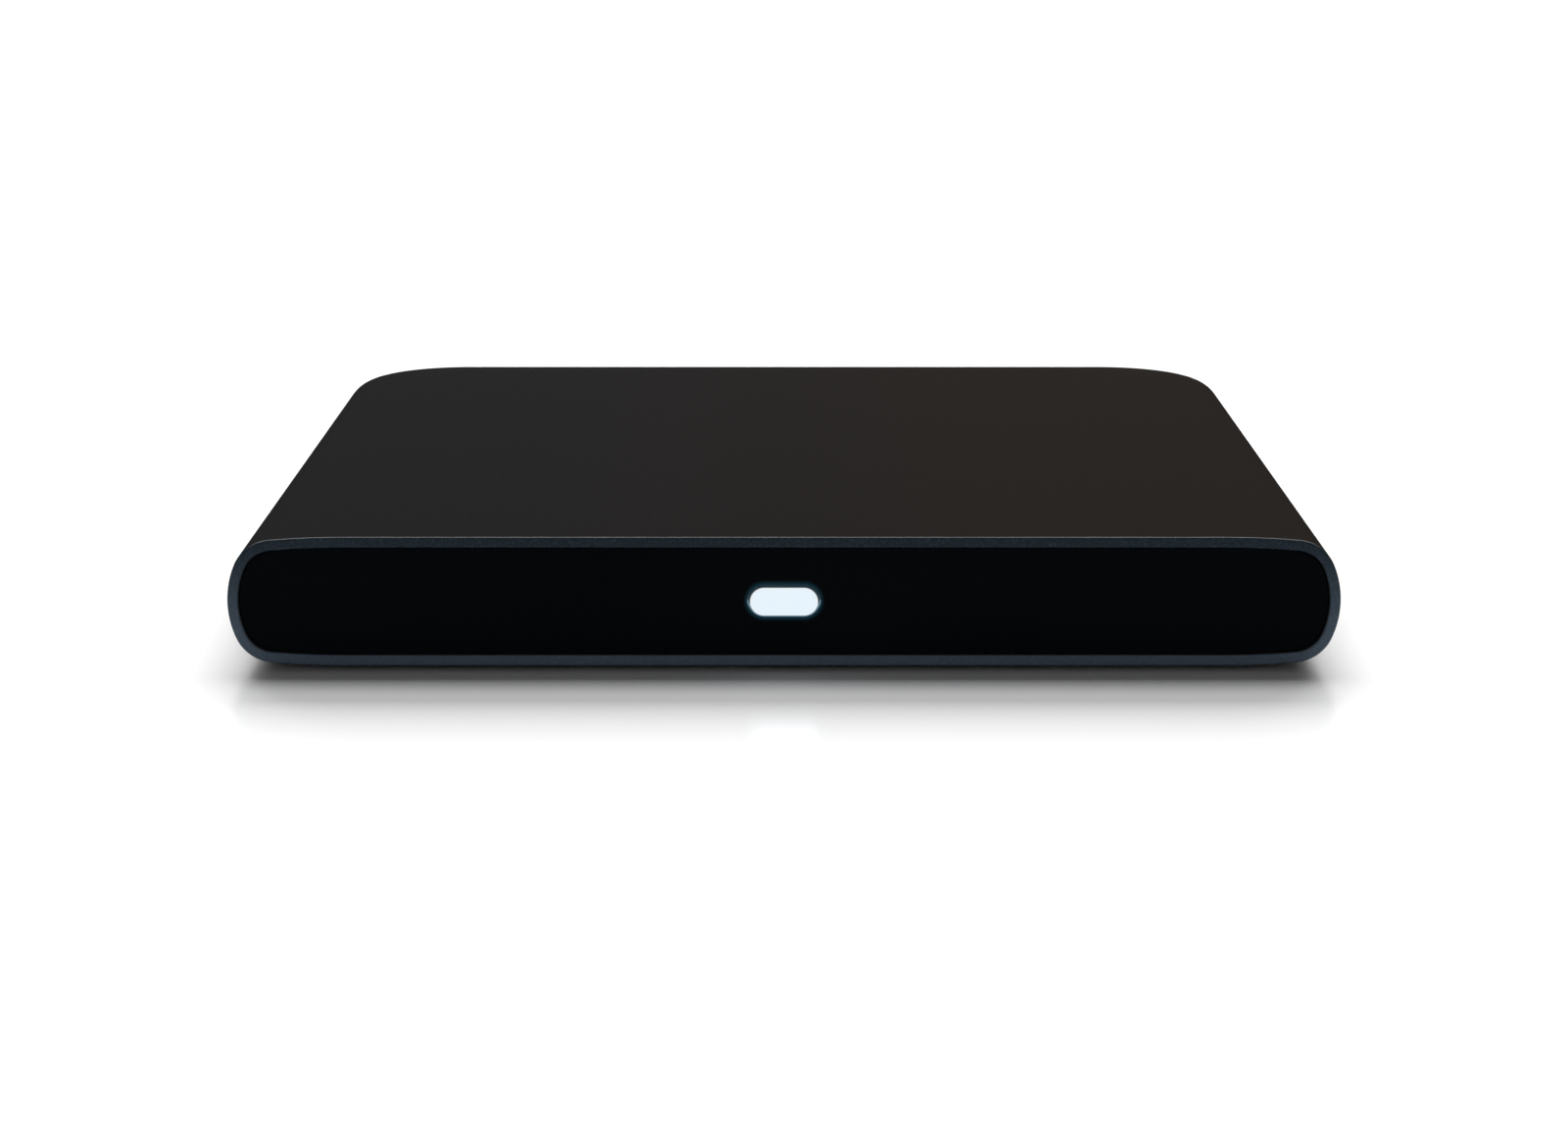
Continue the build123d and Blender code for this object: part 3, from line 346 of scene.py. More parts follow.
class Skin:
    """Gathers grids and flat fills into one closed mesh."""

    def __init__(self) -> None:
        """Start with no points and no faces."""
        self._points: list[np.ndarray] = []
        self._faces: list[list[int]] = []
        self._count = 0

    def _keep(self, points: np.ndarray) -> int:
        """Add points and give the number of the first one."""
        first = self._count
        self._points.append(points.reshape(-1, 3))
        self._count += len(self._points[-1])
        return first

    def grid(
        self, points: np.ndarray, closed: bool = False, hidden: np.ndarray | None = None
    ) -> None:
        """Join neighbouring rows and columns by quads.

        A cell with one hidden corner keeps the other three as a triangle, and a cell with
        more than one is left out.

        Args:
            points: (rows, columns, 3) array.
            closed: Whether the last column joins the first.
            hidden: (rows, columns) array that is true at points inside a hole.
        """
        first = self._keep(points)
        rows, columns = points.shape[:2]
        index = first + np.arange(rows * columns).reshape(rows, columns)
        gone = np.zeros((rows, columns), bool) if hidden is None else hidden
        if closed:
            index = np.concatenate([index, index[:, :1]], axis=1)
            gone = np.concatenate([gone, gone[:, :1]], axis=1)

        def corners(table: np.ndarray) -> np.ndarray:
            """The four corners of every cell, in order round it."""
            cells = [table[:-1, :-1], table[1:, :-1], table[1:, 1:], table[:-1, 1:]]
            return np.stack(cells, axis=-1).reshape(-1, 4)

        quads, lost = corners(index), corners(gone)
        self._faces += quads[lost.sum(axis=1) == 0].tolist()
        single = lost.sum(axis=1) == 1
        self._faces += quads[single][~lost[single]].reshape(-1, 3).tolist()

    def polygon(self, points: np.ndarray) -> None:
        """Add one flat face through the points."""
        first = self._keep(points)
        self._faces.append(list(range(first, first + len(points))))

    def fill(
        self, outer: np.ndarray, holes: list[np.ndarray], facing: Facing, depth: float
    ) -> None:
        """Fill a flat outline round its holes with triangles.

        The triangles are the constrained Delaunay ones of all the outlines, without those
        whose middle lies in a hole.

        Args:
            outer: (n, 2) outline.
            holes: (n, 2) outlines of the holes.
            facing: Which way the face lies.
            depth: Y of an upright face, or Z of a level one.
        """
        loops = [outer, *holes]
        flat = np.concatenate(loops)
        starts = np.cumsum([0] + [len(loop) for loop in loops])
        edges = [
            (start + i, start + (i + 1) % len(loop))
            for start, loop in zip(starts, loops)
            for i in range(len(loop))
        ]
        corners = [Vector(point) for point in flat.tolist()]
        found = delaunay_2d_cdt(corners, edges, [], 1, WELD)
        points = np.array([tuple(point) for point in found[0]])
        triangles = np.array(found[2])
        middles = points[triangles].mean(axis=1)
        kept = within(middles, outer)
        for hole in holes:
            kept &= ~within(middles, hole)
        first = self._keep(facing.place(points, depth))
        self._faces += (triangles[kept] + first).tolist()

    def stack(self, outline: RoundedBox, steps: list[tuple[float, float]], facing: Facing) -> None:
        """Join copies of an outline, each grown and set at a depth, into a wall.

        Args:
            outline: The outline that is carried.
            steps: Growth and depth of each copy.
            facing: Which way the outline lies.
        """
        loops = [facing.place(outline.points(grow), depth) for grow, depth in steps]
        self.grid(np.stack(loops), closed=True)

    def build(self, name: str, sharp: float = 32.0) -> bpy.types.Object:
        """Weld the pieces, turn the faces outwards and shade them smooth between creases.

        Args:
            name: The object's name.
            sharp: Angle in degrees past which an edge stays a crease.

        Returns:
            The finished object, at the origin.
        """
        mesh = bpy.data.meshes.new(name)
        mesh.from_pydata(np.concatenate(self._points), [], self._faces)
        shape = bmesh.new()
        shape.from_mesh(mesh)
        bmesh.ops.remove_doubles(shape, verts=shape.verts, dist=MERGE)
        bmesh.ops.dissolve_degenerate(shape, dist=WELD, edges=shape.edges)
        bmesh.ops.recalc_face_normals(shape, faces=shape.faces)
        open_edges = sum(not edge.is_manifold for edge in shape.edges)
        shape.to_mesh(mesh)
        shape.free()
        mesh.shade_smooth()
        mesh.set_sharp_from_angle(angle=radians(sharp))
        piece = bpy.data.objects.new(name, mesh)
        bpy.context.scene.collection.objects.link(piece)
        weighted = piece.modifiers.new("even_shading", "WEIGHTED_NORMAL")
        weighted.keep_sharp = True
        LOG.info("%s: %d faces, %d open edges", name, len(mesh.polygons), open_edges)
        return piece


def within(points: np.ndarray, loop: np.ndarray) -> np.ndarray:
    """Even-odd rule: a point is inside if a ray to its right crosses the loop an odd time.

    Args:
        points: (n, 2) points to test.
        loop: (m, 2) closed outline.

    Returns:
        (n,) array of truth values.
    """
    x, y = points[:, 0, None], points[:, 1, None]
    after = np.roll(loop, -1, axis=0)
    straddles = (loop[:, 1] > y) != (after[:, 1] > y)
    rise = np.where(after[:, 1] == loop[:, 1], 1.0, after[:, 1] - loop[:, 1])
    crossing = loop[:, 0] + (y - loop[:, 1]) * (after[:, 0] - loop[:, 0]) / rise
    return (straddles & (x < crossing)).sum(axis=1) % 2 == 1


def rounding(radius: float, steps: int = 4) -> list[tuple[float, float]]:
    """Quarter circle of an edge: (distance in, distance back), from its side to its face.

    Args:
        radius: The edge's radius.
        steps: How many chords the quarter has.

    Returns:
        Pairs of radius times (1 - cos a) and radius times (1 - sin a).
    """
    angle = np.linspace(0, pi / 2, steps + 1)
    return [(radius * (1 - cos(a)), radius * (1 - sin(a))) for a in angle]


Colour = tuple[float, float, float]
Socket = bpy.types.NodeSocket
Material = bpy.types.Material
Tree = bpy.types.NodeTree


def solid(colour: Colour) -> tuple[float, float, float, float]:
    """A colour with full opacity."""
    return (*colour, 1.0)


class NodeKit:
    """Short ways to make and join shader nodes in one tree."""

    def __init__(self, tree: Tree) -> None:
        """Keep the tree that nodes are made in."""
        self.tree = tree

    def give(self, target: Socket, value: object) -> None:
        """Link a socket to the target, or set the target's own value."""
        if isinstance(value, Socket):
            self.tree.links.new(value, target)
        else:
            target.default_value = value

    def node(self, kind: str, inputs: dict | None = None, **settings: object) -> bpy.types.Node:
        """Make a node.

        Args:
            kind: The node's type name.
            inputs: A socket or a value for each input, by name or number.
            settings: The node's own settings, by name.

        Returns:
            The node.
        """
        made = self.tree.nodes.new(kind)
        for key, value in settings.items():
            setattr(made, key, value)
        for key, value in (inputs or {}).items():
            self.give(made.inputs[key], value)
        return made

    def maths(self, operation: str, first: object, second: object = 0.0) -> Socket:
        """Result of one step of arithmetic on sockets or numbers."""
        return self.node("ShaderNodeMath", {0: first, 1: second}, operation=operation).outputs[0]

    def blend(self, factor: object, first: object, second: object) -> Socket:
        """Colour that is the first at factor 0 and the second at factor 1."""
        mix = self.node("ShaderNodeMix", {0: factor, 6: first, 7: second}, data_type="RGBA")
        return mix.outputs[2]


class Effect(Enum):
    """Shared effects, each one node group that is built once."""

    FLECKS = "metal_flecks"
    GRAIN = "moulded_grain"
    HANDLING = "handling_marks"
    BRUSHING = "brushed_lines"

    def group(self) -> Tree:
        """The effect's node group, built when it is first asked for."""
        known = bpy.data.node_groups.get(self.value)
        if known is not None:
            return known
        tree = bpy.data.node_groups.new(self.value, "ShaderNodeTree")
        makers = {
            Effect.FLECKS: _build_flecks,
            Effect.GRAIN: _build_grain,
            Effect.HANDLING: _build_handling,
            Effect.BRUSHING: _build_brushing,
        }
        makers[self](tree)
        return tree


def _sockets(tree: Tree, inputs: dict[str, str], outputs: dict[str, str]) -> tuple:
    """Name a group's inputs and outputs.

    Args:
        tree: The group's tree.
        inputs: Kind of socket by input name: Vector, Color or Float.
        outputs: The same for the outputs.

    Returns:
        A kit for the tree, the group input's sockets and the group output's sockets.
    """
    for side, named in (("INPUT", inputs), ("OUTPUT", outputs)):
        for name, kind in named.items():
            tree.interface.new_socket(name, in_out=side, socket_type=f"NodeSocket{kind}")
    kit = NodeKit(tree)
    return kit, kit.node("NodeGroupInput").outputs, kit.node("NodeGroupOutput").inputs


def _build_flecks(tree: Tree) -> None:
    """Tiny bright flakes: the few cells of a Voronoi pattern whose random value is highest."""
    cell_fall = 1.6
    kit, given, result = _sockets(
        tree,
        {"Vector": "Vector", "Scale": "Float", "Share": "Float", "Base": "Color", "Fleck": "Color"},
        {"Color": "Color"},
    )
    cells = kit.node("ShaderNodeTexVoronoi", {"Vector": given["Vector"], "Scale": given["Scale"]})
    chance = kit.node("ShaderNodeSeparateColor", {0: cells.outputs["Color"]}).outputs
    chosen = kit.maths("LESS_THAN", chance[0], given["Share"])
    fall = kit.maths("MULTIPLY", cells.outputs["Distance"], cell_fall)
    near = kit.maths("MAXIMUM", kit.maths("SUBTRACT", 1.0, fall), 0.0)
    mask = kit.maths("MULTIPLY", kit.maths("MULTIPLY", chosen, near), chance[1])
    kit.give(result["Color"], kit.blend(mask, given["Base"], given["Fleck"]))


def _build_grain(tree: Tree) -> None:
    """Moulded texture: fine noise that raises the surface and shades its colour a little."""
    kit, given, result = _sockets(
        tree,
        {"Vector": "Vector", "Scale": "Float", "Shade": "Float", "Base": "Color"},
        {"Color": "Color", "Height": "Float"},
    )
    texture = {"Vector": given["Vector"], "Scale": given["Scale"], "Detail": 3.0, "Roughness": 0.6}
    noise = kit.node("ShaderNodeTexNoise", texture).outputs[0]
    swing = kit.maths("MULTIPLY", kit.maths("SUBTRACT", noise, 0.5), given["Shade"])
    shading = {0: given["Base"], "Scale": kit.maths("ADD", swing, 1.0)}
    shaded = kit.node("ShaderNodeVectorMath", shading, operation="SCALE")
    kit.give(result["Color"], shaded.outputs[0])
    kit.give(result["Height"], noise)


def _build_handling(tree: Tree) -> None:
    """Wiped and handled patches: broad noise that moves the roughness between two values."""
    kit, given, result = _sockets(
        tree,
        {"Vector": "Vector", "Scale": "Float", "Low": "Float", "High": "Float"},
        {"Roughness": "Float"},
    )
    texture = {"Vector": given["Vector"], "Scale": given["Scale"], "Detail": 4.0}
    noise = kit.node("ShaderNodeTexNoise", texture).outputs[0]
    limits = {"From Min": 0.3, "From Max": 0.7, "To Min": given["Low"], "To Max": given["High"]}
    span = kit.node("ShaderNodeMapRange", {"Value": noise, **limits})
    kit.give(result["Roughness"], span.outputs[0])


def _build_brushing(tree: Tree) -> None:
    """Drawn or rolled lines: noise stretched along X, as roughness and as height."""
    line_stretch = (0.06, 1.0, 1.0)
    kit, given, result = _sockets(
        tree,
        {"Vector": "Vector", "Scale": "Float", "Low": "Float", "High": "Float"},
        {"Roughness": "Float", "Height": "Float"},
    )
    stretch = kit.node("ShaderNodeMapping", {"Vector": given["Vector"], "Scale": line_stretch})
    texture = {"Vector": stretch.outputs[0], "Scale": given["Scale"]}
    noise = kit.node("ShaderNodeTexNoise", texture).outputs[0]
    limits = {"To Min": given["Low"], "To Max": given["High"]}
    span = kit.node("ShaderNodeMapRange", {"Value": noise, **limits})
    kit.give(result["Roughness"], span.outputs[0])
    kit.give(result["Height"], noise)


class Paint(NodeKit):
    """One material: a Principled shader, its output, and the effects that feed it."""

    def __init__(self, name: str, **values: object) -> None:
        """Make the material with an empty tree, a shader and the object's own coordinates.

        Args:
            name: The material's name.
            values: The shader's own numbers and colours, as put takes them.
        """
        self.material = bpy.data.materials.new(name)
        self.material.use_nodes = True
        self.material.node_tree.nodes.clear()
        super().__init__(self.material.node_tree)
        self.shader = self.node("ShaderNodeBsdfPrincipled")
        self.node("ShaderNodeOutputMaterial", {"Surface": self.shader.outputs[0]})
        self.place = self.node("ShaderNodeTexCoord").outputs["Object"]
        self.put(**values)

    def put(self, **values: object) -> None:
        """Give the shader numbers, colours or sockets, with _ for a space in an input's name."""
        for key, value in values.items():
            self.give(self.shader.inputs[key.replace("_", " ")], value)

    def axis(self, name: str) -> Socket:
        """The object's own X, Y or Z."""
        return self.node("ShaderNodeSeparateXYZ", {0: self.place}).outputs[name]

    def effect(self, kind: Effect, **values: object) -> bpy.types.bpy_prop_collection:
        """Outputs of a shared effect, fed with the object's coordinates and its own values."""
        inputs = {"Vector": self.place, **values}
        return self.node("ShaderNodeGroup", inputs, node_tree=kind.group()).outputs

    def handled(self, scale: float, low: float, high: float) -> None:
        """Vary the roughness between two values in broad patches."""
        self.put(Roughness=self.effect(Effect.HANDLING, Scale=scale, Low=low, High=high)[0])

    def grained(self, base: object, scale: float, shade: float, depth: float = 0.0) -> None:
        """Shade a base colour by fine grain, and raise the surface by it where it has a depth.

        Args:
            base: The colour, as a socket or four numbers.
            scale: Scale of the grain.
            shade: How much the grain lightens and darkens the colour.
            depth: Height of the grain in metres.
        """
        grain = self.effect(Effect.GRAIN, Scale=scale, Shade=shade, Base=base)
        self.put(Base_Color=grain["Color"])
        if depth > 0:
            self.raise_surface(grain["Height"], depth)

    def raise_surface(self, height: Socket, depth: float) -> None:
        """Feed a height to the shader's normal through a Bump node, with its depth in metres."""
        bump = self.node("ShaderNodeBump", {"Strength": 1.0, "Distance": depth, "Height": height})
        self.put(Normal=bump.outputs[0])

    def span(self, value: Socket, start: float, end: float) -> Socket:
        """Smooth step of a value, from 0 at start to 1 at end, whichever is the larger."""
        rises = start < end
        low, high = sorted((start, end))
        limits = {"From Min": low, "From Max": high, "To Min": float(not rises), "To Max": float(rises)}
        step = {"Value": value, **limits}
        return self.node("ShaderNodeMapRange", step, interpolation_type="SMOOTHSTEP").outputs[0]

    def pill_distance(self, pill: RoundedBox) -> Socket:
        """Distance outside an upright full-round slot, negative inside it.

        It is the distance to the slot's middle line less the slot's half height.

        Args:
            pill: The slot's outline.

        Returns:
            The distance's socket.
        """
        offset = self.maths("ABSOLUTE", self.maths("SUBTRACT", self.axis("X"), pill.x))
        past = self.maths("SUBTRACT", offset, (pill.width - pill.height) / 2)
        run = self.maths("MAXIMUM", past, 0.0)
        rise = self.maths("SUBTRACT", self.axis("Z"), pill.y)
        square = self.maths(
            "ADD", self.maths("MULTIPLY", run, run), self.maths("MULTIPLY", rise, rise)
        )
        return self.maths("SUBTRACT", self.maths("SQRT", square), pill.height / 2)


@dataclass(frozen=True)
class MouldedFinish:
    """Moulded plastic, rubber, film or epoxy with a fine grain."""

    name: str
    colour: Colour
    rough: tuple[float, float] = (0.45, 0.6)
    specular: float = 0.35
    grain_scale: float = 2500.0
    grain_depth: float = 0.02 * MM
    shade: float = 0.25
    marks_scale: float = 60.0

    def material(self) -> Material:
        """Build the finish."""
        paint = Paint(self.name, Specular_IOR_Level=self.specular)
        paint.grained(solid(self.colour), self.grain_scale, self.shade, self.grain_depth)
        paint.handled(self.marks_scale, *self.rough)
        return paint.material


@dataclass(frozen=True)
class MetalFinish:
    """Rolled, drawn or plated metal."""

    name: str
    colour: Colour
    rough: tuple[float, float] = (0.25, 0.45)
    grain_scale: float = 400.0
    shade: float = 0.15
    line_scale: float = 1500.0
    line_depth: float = 0.004 * MM

    def material(self) -> Material:
        """Build the finish."""
        paint = Paint(self.name, Metallic=1.0)
        paint.grained(solid(self.colour), self.grain_scale, self.shade)
        low, high = self.rough
        lines = paint.effect(Effect.BRUSHING, Scale=self.line_scale, Low=low, High=high)
        paint.put(Roughness=lines["Roughness"])
        paint.raise_surface(lines["Height"], self.line_depth)
        return paint.material


@dataclass(frozen=True)
class CoatFinish:
    """Soft matt coating, a little cooler on the left than on the right."""

    name: str
    reach: float
    cool: Colour = (0.0208, 0.0203, 0.0212)
    warm: Colour = (0.0235, 0.0198, 0.0172)
    diffuse_roughness: float = 0.6
    grain_scale: float = 3500.0
    grain_depth: float = 0.01 * MM
    shade: float = 0.3
    marks_scale: float = 35.0
    rough: tuple[float, float] = (0.60, 0.63)

    def material(self) -> Material:
        """Build the finish."""
        paint = Paint(self.name, Specular_IOR_Level=0.0, Diffuse_Roughness=self.diffuse_roughness)
        across = paint.span(paint.axis("X"), -self.reach, self.reach)
        body = paint.blend(across, solid(self.cool), solid(self.warm))
        paint.grained(body, self.grain_scale, self.shade, self.grain_depth)
        paint.handled(self.marks_scale, *self.rough)
        return paint.material


@dataclass(frozen=True)
class RimFinish:
    """Slate lacquer on the cut edge of the sleeve, with fine flakes, and painted light by height:
    lighter at the bottom as if lit by the floor's bounce, darker towards the top.
    """

    name: str
    middle_z: float
    half_height: float
    # low and high: painted bounce light at the bottom of the rim and painted shade at its top, over the
    # lacquer's own slate.
    low: Colour = (0.090, 0.122, 0.162)
    high: Colour = (0.0150, 0.0240, 0.0335)
    fleck: Colour = (0.11, 0.145, 0.18)
    fleck_scale: float = 6500.0
    fleck_share: float = 0.25
    specular: float = 0.05
    grain_scale: float = 2600.0
    grain_depth: float = 0.006 * MM
    shade: float = 0.5
    marks_scale: float = 180.0
    rough: tuple[float, float] = (0.28, 0.40)

    def material(self) -> Material:
        """Build the finish."""
        paint = Paint(self.name, Specular_IOR_Level=self.specular)
        bottom, top = self.middle_z - self.half_height, self.middle_z + self.half_height
        # Painted light: the lacquer's colour blends by height from the bounce-lit low colour to the
        # darker high one.
        rise = paint.span(paint.axis("Z"), bottom, top)
        base = paint.blend(rise, solid(self.low), solid(self.high))
        flecks = paint.effect(
            Effect.FLECKS, Scale=self.fleck_scale, Share=self.fleck_share, Base=base,
            Fleck=solid(self.fleck),
        )
        paint.grained(flecks["Color"], self.grain_scale, self.shade, self.grain_depth)
        paint.handled(self.marks_scale, *self.rough)
        return paint.material


@dataclass(frozen=True)
class WindowFinish:
    """Dark glossy window that lets a remote control's light through, with the button's light painted as
    a faint cool glow round its hole, and a faint mottled painted glow over the rest.
    """

    name: str
    pill: RoundedBox
    base: Colour = (0.0003, 0.0006, 0.0009)
    specular: float = 0.012
    marks_scale: float = 25.0
    rough: tuple[float, float] = (0.04, 0.09)
    # Faint mottled emission over the whole window: a painted glow, though the window is no lamp.
    mottled_painted_glow: Colour = (0.0003, 0.0007, 0.0011)
    mottled_painted_glow_scale: float = 22.0
    mottled_painted_glow_shade: float = 1.2
    # Cool emission round the button's hole: the button's light painted on the window.
    glow: Colour = (0.004, 0.022, 0.032)
    painted_glow_reach: tuple[float, float] = (0.9 * MM, 0.05 * MM)

    def material(self) -> Material:
        """Build the finish: the painted glow of the button's light fades with the distance from the
        button's hole.
        """
        paint = Paint(
            self.name, Base_Color=solid(self.base), Specular_IOR_Level=self.specular,
            Emission_Strength=1.0,
        )
        paint.handled(self.marks_scale, *self.rough)
        # Painted light: emission that fades in near the button's hole, as the button's light falling on
        # the window.
        painted_glow_mask = paint.span(paint.pill_distance(self.pill), *self.painted_glow_reach)
        # Painted glow: faint mottled emission over the rest of the window.
        mottled_painted_glow = paint.effect(
            Effect.GRAIN, Scale=self.mottled_painted_glow_scale, Shade=self.mottled_painted_glow_shade, Base=solid(self.mottled_painted_glow)
        )
        paint.put(Emission_Color=paint.blend(painted_glow_mask, mottled_painted_glow["Color"], solid(self.glow)))
        return paint.material


@dataclass(frozen=True)
class LampFinish:
    """Translucent white, lit from behind: an even face, a painted highlight as a bright line round it,
    and a side painted dim below and dark with painted shade from the middle up.
    """

    name: str
    pill: RoundedBox
    face_y: float
    edge: float
    body: Colour = (0.10, 0.11, 0.12)
    body_rough: float = 0.3
    face: Colour = (0.72, 0.82, 0.89)
    # line is a painted highlight along the face's rounded edge; shade and gap paint the side by height,
    # a dim lamp light below and painted shade from the middle up.
    line: Colour = (0.90, 0.98, 1.0)
    shade: Colour = (0.12, 0.20, 0.27)
    gap: Colour = (0.006, 0.018, 0.026)
    painted_highlight_reach: tuple[float, float] = (0.22 * MM, 0.10 * MM)
    painted_shade_share: tuple[float, float] = (0.22, 0.02)
    roll_share: tuple[float, float] = (0.12, 0.3)
    grain_scale: float = 900.0
    grain_shade: float = 0.04

    def material(self) -> Material:
        """Build the finish: the face's edge gets a painted highlight, and the side is painted by
        height, with a little lamp light below and painted shade, dark, from the middle up.
        """
        paint = Paint(
            self.name, Base_Color=solid(self.body), Roughness=self.body_rough,
            Emission_Strength=1.0,
        )
        outside = paint.pill_distance(self.pill)
        # Painted highlight: a bright line where the face meets its rounded edge.
        near = paint.span(outside, *(-self.edge - reach for reach in self.painted_highlight_reach))
        front = paint.blend(near, solid(self.face), solid(self.line))
        half = self.pill.height / 2
        # Painted shade: the side is dark from the middle up, with a dim lamp light only below.
        below = paint.span(paint.axis("Z"), *(self.pill.y - share * half for share in self.painted_shade_share))
        side = paint.blend(below, solid(self.shade), solid(self.gap))
        rolled = paint.span(
            paint.axis("Y"), *(self.face_y + share * self.edge for share in self.roll_share)
        )
        lit = paint.blend(rolled, front, side)
        grain = paint.effect(
            Effect.GRAIN, Scale=self.grain_scale, Shade=self.grain_shade, Base=lit
        )
        paint.put(Emission_Color=grain["Color"])
        return paint.material


@dataclass(frozen=True)
class BoardFinish:
    """Printed board under its solder mask, with fine tracks that show as a lighter green."""

    name: str
    mask: tuple[Colour, Colour] = ((0.010, 0.060, 0.028), (0.008, 0.050, 0.024))
    track: Colour = (0.025, 0.120, 0.055)
    track_scale: float = 420.0
    track_width: float = 0.03
    specular: float = 0.5
    grain_scale: float = 700.0
    shade: float = 0.3
    marks_scale: float = 120.0
    rough: tuple[float, float] = (0.25, 0.4)

    def material(self) -> Material:
        """Build the finish: a brick pattern of tracks, mottled a little."""
        paint = Paint(self.name, Specular_IOR_Level=self.specular)
        pattern = {
            "Vector": paint.place, "Scale": self.track_scale, "Mortar Size": self.track_width,
            "Color1": solid(self.mask[0]), "Color2": solid(self.mask[1]),
            "Mortar": solid(self.track),
        }
        tracks = paint.node("ShaderNodeTexBrick", pattern)
        paint.grained(tracks.outputs["Color"], self.grain_scale, self.shade)
        paint.handled(self.marks_scale, *self.rough)
        return paint.material


@dataclass(frozen=True)
class ClearFinish:
    """Clear moulded plastic with faint flow marks."""

    name: str
    colour: Colour = (0.9, 0.95, 1.0)
    transmission: float = 0.9
    ior: float = 1.49
    marks_scale: float = 90.0
    rough: tuple[float, float] = (0.05, 0.15)

    def material(self) -> Material:
        """Build the finish."""
        paint = Paint(
            self.name, Base_Color=solid(self.colour), Transmission_Weight=self.transmission,
            IOR=self.ior,
        )
        paint.handled(self.marks_scale, *self.rough)
        return paint.material



class Wardrobe:
    """Every finish of the object, made once, and the parts that wear each."""

    CAD_PARTS = {
        "black_plastic": (
            "front_frame", "button_switch", "antenna_holder_left", "antenna_holder_right",
            "antenna_lead_left", "antenna_lead_right", "video_socket_tongue", "network_socket",
            "optical_socket", "optical_shutter", "power_inlet", "audio_socket",
        ),
        "white_plastic": (
            "switch_plunger", "heat_sink_pins", "ribbon_cable", "ribbon_sockets",
            "serial_socket_tongue", "reset_plunger",
        ),
        "chip_black": (
            "remote_receiver", "processor", "memory_chips", "flash_chip", "power_coils",
            "reset_switch",
        ),
        "board_green": (
            "front_board", "main_board", "wireless_module", "antenna_left", "antenna_right",
        ),
        "sheet_steel": (
            "chassis_tray", "wireless_shield", "video_socket_shell", "serial_socket_shell",
        ),
        "screw_steel": (
            "front_board_screws", "frame_screws", "board_screws", "case_screws", "panel_screws",
            "heat_sink_springs",
        ),
        "aluminium_fins": ("heat_sink", "filter_capacitors"),
        "contact_brass": ("network_contacts", "power_inlet_pin"),
        "thermal_rubber": ("thermal_pad",),
        "clear_plastic": ("light_guide", "optical_emitter"),
        "status_white": ("status_lamps",),
        "label_grey": ("rating_label",),
    }

    def __init__(self) -> None:
        """Build the finishes that carried-over parts wear."""
        moulded = [
            MouldedFinish("black_plastic", (0.012, 0.012, 0.013)),
            MouldedFinish("white_plastic", (0.62, 0.62, 0.60), shade=0.08),
            MouldedFinish("status_white", (0.8, 0.85, 0.9), shade=0.05),
            MouldedFinish("chip_black", (0.020, 0.020, 0.022), grain_scale=4000.0),
            MouldedFinish("thermal_rubber", (0.30, 0.32, 0.38), rough=(0.7, 0.85)),
            MouldedFinish("label_grey", (0.30, 0.30, 0.31), rough=(0.35, 0.5), shade=0.1),
            MouldedFinish("rubber_black", (0.014, 0.014, 0.014), rough=(0.75, 0.9), specular=0.2),
        ]
        metals = [
            MetalFinish("sheet_steel", (0.56, 0.57, 0.58)),
            MetalFinish("screw_steel", (0.40, 0.40, 0.41), rough=(0.3, 0.4)),
            MetalFinish("aluminium_fins", (0.72, 0.73, 0.74), rough=(0.3, 0.5)),
            MetalFinish("contact_brass", (0.78, 0.60, 0.28), rough=(0.2, 0.3)),
        ]
        others = [BoardFinish("board_green"), ClearFinish("clear_plastic")]
        self.finishes = {made.name: made.material() for made in [*moulded, *metals, *others]}

    def dress_cad_parts(self) -> None:
        """Give every carried-over part its finish."""
        for finish, nodes in self.CAD_PARTS.items():
            for node in nodes:
                wear(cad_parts[node], self.finishes[finish])
        LOG.info("dressed %d carried-over parts", sum(map(len, self.CAD_PARTS.values())))


def wear(piece: bpy.types.Object, material: Material) -> None:
    """Make a material the only one of a piece."""
    piece.data.materials.clear()
    piece.data.materials.append(material)


def settle(piece: bpy.types.Object, node: str, body: str) -> None:
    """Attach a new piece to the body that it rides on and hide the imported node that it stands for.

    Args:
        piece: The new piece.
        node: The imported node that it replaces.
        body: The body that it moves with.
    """
    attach(piece, body)
    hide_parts(node)
    LOG.info("%s stands for %s on %s", piece.name, node, body)


